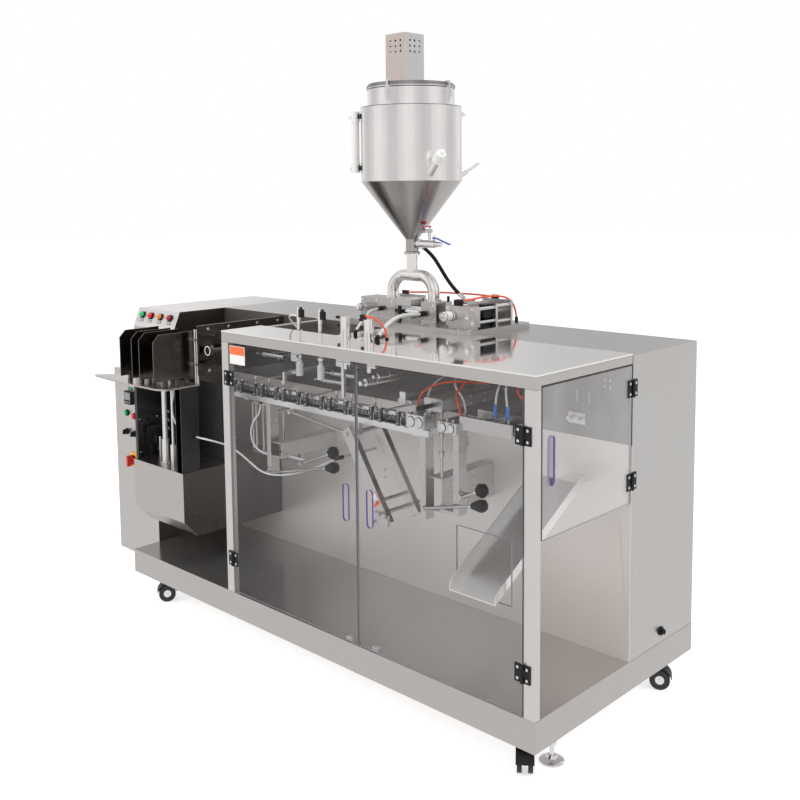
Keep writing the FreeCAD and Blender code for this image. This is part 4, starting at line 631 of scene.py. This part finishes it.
def stations():
    s = Piece("seal_front_plates", "anodised_aluminium")
    for x0, x1, z0, z1, r in ((-716, -632, 905, 954, 18), (-563, -480, 913, 949, 15)):
        s.box(x0, x1, 185, 190, z0, z1, "alu_white")
        for f in (0.27, 0.73):
            x, z = x0 + (x1 - x0) * f, (z0 + z1) / 2
            s.lathe((x, 185.5, z), (0, -1, 0), [(r + 2.2, 0), (r + 2.2, 1.2), (r, 1.2)], "black")
            s.lathe((x, 185, z), (0, -1, 0), [(r, 0), (r, 3), (r - 2, 4.6), (0, 4.9)], "alu_white")
        for x in (x0 + 5, x1 - 5):
            for z in (z0 + 5, z1 - 5):
                s.screw((x, 185, z), (0, -1, 0), 2.8, 1.6)
    for x, z in ((-700, 960), (-650, 958), (-545, 955), (-515, 955)):
        s.bolt((x, 215, 956 if x < -600 else 951), (0, 0, 1), 5, 4, "chrome")
    s.done(0.5)
    e = Piece("station_details", "anodised_aluminium")
    e.box(-573, -571.4, 222, 550, 976, 1015, "alu_white")
    e.box(-655, -575, 222, 550, 1018, 1019.4, "alu_white")
    for y in (236, 300, 380, 460, 536):
        e.screw((-571.4, y, 982), (1, 0, 0), 3.2, 1.8)
        e.screw((-571.4, y, 1009), (1, 0, 0), 3.2, 1.8)
    for x in (-1352, -1221):
        e.lathe((x, 221, 1015), (0, 0, 1), [(10, 0), (14.8, 2), (14.8, 54), (12, 60), (8, 63), (8, 70), (6, 74)], "white", seg=28)
        e.lathe((x, 221, 1090), (0, 0, 1), [(6, 0), (12, 1), (12, 12), (7, 14)], "chrome", seg=6)
        e.lathe((x, 221, 1108), (0, 0, 1), [(5, 0), (9, 1), (9, 8), (5, 9)], "chrome", seg=20)
    for x, y, z, n, r in ((-1033, 290, 1016, (0, -1, 0), 14), (-1000, 330, 1040, (0, -1, 0), 10), (-1430, 300, 1100, (0, -1, 0), 12)):
        e.lathe((x, y, z), n, [(r * 0.9, 0), (r * 1.12, 1), (r * 1.12, 7), (r * 0.7, 9), (r * 0.45, 10)], "chrome", seg=24)
        e.lathe((x, y - 26, z), n, [(r * 0.5, 0), (r * 0.8, 1), (r * 0.8, 7), (r * 0.5, 8)], "chrome", seg=6)
        e.lathe((x, y + 60, z), n, [(r + 0.2, 0), (r + 1.6, 0.6), (r + 1.6, 7.4), (r + 0.2, 8)], "chrome", seg=24)
        e.box(x - 5, x + 5, y + 120, y + 140, z + r - 1, z + r + 9, "black")
    for x in (-1700, -1610, -1520, -1180, -1090, -960):
        e.box(x - 9, x + 9, 252, 282, 925, 929, "machined")
        e.cyl((x, 266, 929), (x, 266, 960), 3.2, "chrome", seg=14)
        e.lathe((x, 266, 941), (0, 0, 1), [(4, 0), (7.5, 1), (7.5, 7), (4, 8)], "zinc", seg=6)
        e.lathe((x, 266, 956), (0, 0, 1), [(3, 0), (6, 2), (6, 9), (3, 11)], "chrome", seg=16)
    for x0, x1, y, z in ((-1690, -1545, 300, 1060), (-1660, -1560, 330, 1120), (-1330, -1180, 320, 985), (-1310, -1150, 360, 1010)):
        e.cyl((x0, y, z), (x1, y, z), 7, "alu_white", seg=24)
        e.lathe((x0, y, z), (1, 0, 0), [(7, 0), (9.5, 1), (9.5, 12), (7.2, 13)], "machined", seg=24)
        e.lathe((x1, y, z), (-1, 0, 0), [(7, 0), (9.5, 1), (9.5, 12), (7.2, 13)], "machined", seg=24)
        e.cyl((x0 - 34, y, z), (x0, y, z), 3, "chrome", seg=14)
        e.lathe((x0 - 34, y, z), (-1, 0, 0), [(3, 0), (6, 1), (6, 6), (3, 7)], "zinc", seg=6)
        for x in (x0 + 20, x1 - 20):
            e.box(x - 5, x + 5, y, 555, z - 4, z + 4, "machined")
    e.box(-1830, -722, 262, 264, 869, 897, "dark_panel")
    for x in (-1780, -1560, -1330, -1110, -900, -745):
        e.box(x - 6, x + 6, 250, 262, 875, 887, "dark_panel")
    e.done(0.4)
    t = Piece("tube_sleeves", "blue_plastic")
    for x in (-354, -301):
        t.lathe((x, 250, 984), (0, 0, 1), [(7.4, 0), (7.4, 10), (6.2, 12), (6.2, 40), (5.2, 44), (4.4, 44)], "sleeve_blue", seg=20)
    t.done(0.3)
    k = Piece("lobed_knobs", "black_plastic")
    ball = [(0, 0), (13, 4), (24, 15), (27, 27), (22, 40), (12, 47.5), (0, 49.5)]
    pear = [(0, 0), (11, 2), (18, 22), (24.4, 44), (21.5, 60), (10, 69), (0, 71.5)]
    for base, axis, prof in (((-1182, 222, 715), (171, 0, 69), ball), ((-1200, 222, 653), (360, 0, 85), pear),
                             ((-415, 222, 712), (68, 0, 31), ball), ((-438, 222, 657), (222, 0, 54), pear)):
        k.lathe(base, axis, prof, "black", seg=56, lobes=7, deep=0.14)
        a = Vector(axis).normalized()
        k.cyl(Vector(base) - a * 9, Vector(base) + a * 3, 8, "chrome", seg=6)
    k.lathe((-630, 150, 990), (0, 1, 0), [(6, 0), (9, 3), (9, 18), (8, 20), (9, 22), (9, 40), (8, 42), (9, 44), (9, 62), (6, 68)], "black", seg=28)
    k.done(0.4, ("adjusting_knobs",))
    u = Piece("pickup_details", "anodised_aluminium")
    u.lathe((-1811, 96, 1087), (0, -1, 0), [(25, 0), (25, 2), (20, 2.4), (20, 3.4), (16, 3.4), (16, 2.2), (0, 2.2)], "black", seg=32)
    u.lathe((-1811, 95, 1087), (0, -1, 0), [(21, 0), (21, 3.6), (17, 3.6), (17, 0.5)], "patch_white", seg=32)
    for y, z in ((130, 1176), (240, 1176), (400, 1176), (520, 1176), (130, 992), (300, 992), (520, 992)):
        u.bolt((-1854, y, z), (1, 0, 0), 5, 4, "chrome")
    u.done(0.4)


def pump():
    b = Piece("pump_fasteners", "zinc_steel")
    for x in (-1364, -1276, -1184, -1009, -949):
        for z in (1238, 1300):
            b.bolt((x, 600, z), (0, -1, 0), 5, 4.5, "chrome")
    for x in (-838, -711):
        for z in (1244, 1306):
            b.bolt((x, 800, z), (0, 1, 0), 6, 5, "zinc")
        for z in (1250, 1302):
            b.bolt((x, 560, z), (0, -1, 0), 6, 5, "chrome")
    for x in (-1360, -1188):
        for z in (1244, 1300):
            b.bolt((x, 800, z), (0, 1, 0), 6, 5, "zinc")
    for x in (-1350, -1280, -1250, -1195):
        b.screw((x, 645, 1313), (0, 0, 1), 4.5, 3)
    for x, y in ((-1360, 530), (-1200, 530), (-1060, 530), (-900, 530), (-760, 530), (-702, 530), (-702, 700), (-702, 880), (-860, 880), (-1060, 880), (-1250, 880), (-1362, 880), (-1362, 720)):
        b.screw((x, y, 1225), (0, 0, 1), 5, 3)
    b.done(0.3)
    n = Piece("pump_port_sleeves", "clear_tube")
    for x, y0, y1, r in ((-820, 507, 559, 19.6), (-1337, 553, 563.5, 15.6)):
        n.lathe((x, y0, 1272), (0, 1, 0), [(r - 2, 0), (r, 1.5), (r, y1 - y0 - 1.5), (r - 2, y1 - y0)], "white", seg=36)
        for f in (0.16, 0.84):
            y = y0 + (y1 - y0) * f
            n.lathe((x, y - 1.6, 1272), (0, 1, 0), [(r + 0.2, 0), (r + 1.0, 0.8), (r + 1.0, 2.4), (r + 0.2, 3.2)], "black", seg=36)
    n.done(0.3)
    h = Piece("hopper_trim", "polished_stainless")
    for z, r, w, mat in ((2180.5, 180.2, 3.5, "black"), (2108.5, 208.4, 1.2, "polish"), (1806, 209.2, 1.0, "polish")):
        h.lathe((-1115, 650, z), (0, 0, 1), [(r, 0), (r + 1.2, w * 0.3), (r + 1.2, w * 0.7), (r, w)], mat, seg=96)
    sx, sy = -1115 - 232 * 0.730, 650 - 232 * 0.683
    for z in (1863, 2075):
        for out in (-221, -213):
            nut = Vector((-1115 + out * 0.730 + 15 * 0.683, 650 + out * 0.683 - 15 * 0.730, z))
            h.lathe(nut, (0.730, 0.683, 0), [(9, 0), (10.5, 1), (10.5, 5), (9, 6)], "black", seg=12)
    for px, py in ((-1074, 475), (-937, 675), (-1156, 825), (-1293, 625)):
        d = Vector((px + 1115, py - 650, 0)).normalized()
        s = Vector((-d.y, d.x, 0))
        foot = Vector((-1115, 650, 0)) + d * 180
        for z in (2134, 2178):
            for q in (-6, 6):
                h.screw(foot + d * 7 + s * q + Vector((0, 0, z)), d, 2.6, 1.6)
        h.cyl(foot + d * 14 - s * 8 + Vector((0, 0, 2157)), foot + d * 14 + s * 8 + Vector((0, 0, 2157)), 3.4, "chrome", seg=14)
    h.done(0.3)


def magazine_side():
    m = Piece("magazine_side_plate", "brushed_stainless")
    m.box(-2285, -2281, 14, 150, 545, 905, "dark_panel")
    m.box(-2281, -2266, 14, 18, 545, 905, "dark_panel")
    m.box(-2281, -2262, 60, 128, 600, 690, "dark_panel")
    for y, z in ((34, 570), (34, 880), (130, 570), (130, 880), (34, 725), (130, 725)):
        m.screw((-2281, y, z), (1, 0, 0), 4.2, 2.4)
    m.done(0.6)


def patches():
    d = Piece("door_patch", "orange_tube", "front_door_left")
    x0, x1, z0, z1 = (-1526, -1427, 1076, 1150)
    d.box(x0, x1, -0.7, 0.02, z0, z1, "patch_white")
    d.box(x0 + 2, x1 - 2, -1.1, -0.5, z0 + (z1 - z0) * 0.52, z1 - 2, "patch_orange")
    d.done(0.15)
    a = Piece("arm_patch", "orange_tube")
    lean = Quaternion((0, 1, 0), math.radians(-32.6))
    a.box(-18, 18, 177.3, 178.05, -24, 24, "patch_orange", lean, (-877, 0, 600))
    a.box(-15, 15, 176.9, 177.6, -8, 21, "patch_white", lean, (-877, 0, 600))
    a.done(0.15)


def hubs():
    for key, (cx, cy, head) in {"fr": (-77.7, 54.5, -53.4), "rr": (-48, 823, 28.9), "fl": (-2099, 57, -122.4), "rl": (-2110, 850, 200)}.items():
        c, s = math.cos(math.radians(head)), math.sin(math.radians(head))
        hub = Piece("caster_hub_" + key, "zinc_steel", "caster_wheel_" + key)
        mid = Vector((cx + 18 * c, cy + 18 * s, -58.5))
        ax = Vector((-s, c, 0))
        for sign in (-1, 1):
            hub.lathe(mid + ax * sign * 25.8, ax * sign, [(17, 0), (16.5, 0.8), (11, 1.0), (10, 0.4), (6, 0.4), (5.4, 2.0), (0, 2.4)], "alu_white", seg=28)
        hub.done(0.2)
    b = Piece("housing_screws", "zinc_steel")
    for i in range(3):
        x0 = -2302 + i * 766
        for x in (x0 + 12, x0 + 380, x0 + 748):
            for z in (130, 650, 1174):
                b.screw((x, 1013, z), (0, 1, 0), 5.5, 2.6)
    for z in (160, 420, 700, 980, 1160):
        b.screw((0, 590, z), (1, 0, 0), 4.2, 2.0)
    b.done(0.25)


hinge_screws()
console()
grippers()
stations()
pump()
magazine_side()
patches()
hubs()


# ---------------------------------------------------------------------------
# Studio: pale floor, white surround, soft boxes
# ---------------------------------------------------------------------------
def studio():
    k = Net("studio_floor")
    d = k.n("ShaderNodeBsdfDiffuse")
    d.inputs["Color"].default_value = (0.80, 0.80, 0.80, 1)
    e = k.n("ShaderNodeEmission", Strength=0.58)
    e.inputs["Color"].default_value = (1, 1, 1, 1)
    add = k.n("ShaderNodeAddShader")
    k.link(d.outputs[0], add.inputs[0])
    k.link(e.outputs[0], add.inputs[1])
    tc = k.n("ShaderNodeTexCoord")
    sep = k.n("ShaderNodeSeparateXYZ")
    k.link(tc.outputs["Object"], sep.inputs[0])
    lean = k.math("ADD", k.math("MULTIPLY", sep.outputs[0], 0.9), k.math("MULTIPLY", sep.outputs[1], 0.25))
    glow = k.n("ShaderNodeEmission")
    glow.inputs["Color"].default_value = (1.0, 0.985, 0.975, 1)
    k.link(k.span(lean, 0.84, 0.86, -2.3, -0.3), glow.inputs["Strength"])
    lp = k.n("ShaderNodeLightPath")
    mixed = k.n("ShaderNodeMixShader")
    k.link(lp.outputs["Is Camera Ray"], mixed.inputs[0])
    k.link(glow.outputs[0], mixed.inputs[1])
    k.link(add.outputs[0], mixed.inputs[2])
    mat = k.finish(mixed)
    me = bpy.data.meshes.new("floor")
    s = 40
    me.from_pydata([(-s, -s, 0), (s, -s, 0), (s, s, 0), (-s, s, 0)], [], [(0, 1, 2, 3)])
    me.materials.append(mat)
    floor = bpy.data.objects.new("floor", me)
    scene.collection.objects.link(floor)

    world = bpy.data.worlds.new("studio")
    scene.world = world
    world.use_nodes = True
    t = world.node_tree
    t.nodes.clear()
    out = t.nodes.new("ShaderNodeOutputWorld")
    tc = t.nodes.new("ShaderNodeTexCoord")
    sep = t.nodes.new("ShaderNodeSeparateXYZ")
    t.links.new(tc.outputs["Generated"], sep.inputs[0])
    ramp = t.nodes.new("ShaderNodeValToRGB")
    cr = ramp.color_ramp
    cr.elements[0].position, cr.elements[0].color = 0.0, (0.45, 0.44, 0.43, 1)
    cr.elements[1].position, cr.elements[1].color = 1.0, (0.62, 0.62, 0.62, 1)
    for pos, v in ((0.5, 0.66), (0.58, 0.74), (0.70, 0.86), (0.85, 0.72)):
        e2 = cr.elements.new(pos)
        e2.color = (v, v * 0.995, v * 0.99, 1)
    mr = t.nodes.new("ShaderNodeMapRange")
    mr.inputs["From Min"].default_value = -1
    t.links.new(sep.outputs[2], mr.inputs["Value"])
    t.links.new(mr.outputs[0], ramp.inputs[0])
    az = t.nodes.new("ShaderNodeMath")
    az.operation = "ARCTAN2"
    t.links.new(sep.outputs[1], az.inputs[0])
    t.links.new(sep.outputs[0], az.inputs[1])
    wave = t.nodes.new("ShaderNodeMath")
    wave.operation = "SINE"
    mul = t.nodes.new("ShaderNodeMath")
    mul.operation = "MULTIPLY"
    mul.inputs[1].default_value = 5.0
    t.links.new(az.outputs[0], mul.inputs[0])
    t.links.new(mul.outputs[0], wave.inputs[0])
    fine = t.nodes.new("ShaderNodeMath")
    fine.operation = "MULTIPLY"
    fine.inputs[1].default_value = 23.0
    t.links.new(az.outputs[0], fine.inputs[0])
    wave2 = t.nodes.new("ShaderNodeMath")
    wave2.operation = "SINE"
    t.links.new(fine.outputs[0], wave2.inputs[0])
    both = t.nodes.new("ShaderNodeMath")
    both.operation = "MULTIPLY_ADD"
    both.inputs[1].default_value = 0.42
    t.links.new(wave2.outputs[0], both.inputs[0])
    t.links.new(wave.outputs[0], both.inputs[2])
    mr2 = t.nodes.new("ShaderNodeMapRange")
    mr2.inputs["From Min"].default_value = -1
    mr2.inputs["To Min"].default_value = 0.70
    mr2.inputs["To Max"].default_value = 1.12
    t.links.new(both.outputs[0], mr2.inputs["Value"])
    mx = t.nodes.new("ShaderNodeMix")
    mx.data_type = "RGBA"
    mx.blend_type = "MULTIPLY"
    mx.inputs[0].default_value = 1.0
    t.links.new(ramp.outputs[0], mx.inputs[6])
    t.links.new(mr2.outputs[0], mx.inputs[7])
    soft = t.nodes.new("ShaderNodeBackground")
    t.links.new(mx.outputs[2], soft.inputs["Color"])
    soft.inputs["Strength"].default_value = 1.10
    seen = t.nodes.new("ShaderNodeBackground")
    seen.inputs["Color"].default_value = (1, 1, 1, 1)
    lp = t.nodes.new("ShaderNodeLightPath")
    ms = t.nodes.new("ShaderNodeMixShader")
    t.links.new(lp.outputs["Is Camera Ray"], ms.inputs[0])
    t.links.new(soft.outputs[0], ms.inputs[1])
    t.links.new(seen.outputs[0], ms.inputs[2])
    t.links.new(ms.outputs[0], out.inputs["Surface"])

    def box_light(name, loc, aim, w, h, power):
        ld = bpy.data.lights.new(name, "AREA")
        ld.shape = "RECTANGLE"
        ld.size, ld.size_y = w, h
        ld.energy = power
        lo = bpy.data.objects.new(name, ld)
        lo.location = loc
        lo.rotation_mode = "QUATERNION"
        lo.rotation_quaternion = (Vector(aim) - Vector(loc)).to_track_quat("-Z", "Y")
        lo.visible_glossy = False
        scene.collection.objects.link(lo)

    box_light("soft_top", (0.3, -0.5, 5.2), (0, 0, 1), 4.5, 3.0, 80)
    box_light("soft_front", (-2.2, -4.4, 2.6), (-0.2, 0, 0.9), 4.8, 4.2, 82)
    box_light("soft_right", (4.6, 0.4, 2.4), (0.5, 0, 1.0), 4.2, 4.2, 66)
    scene.view_settings.view_transform = "Standard"
    scene.view_settings.look = "None"


studio()
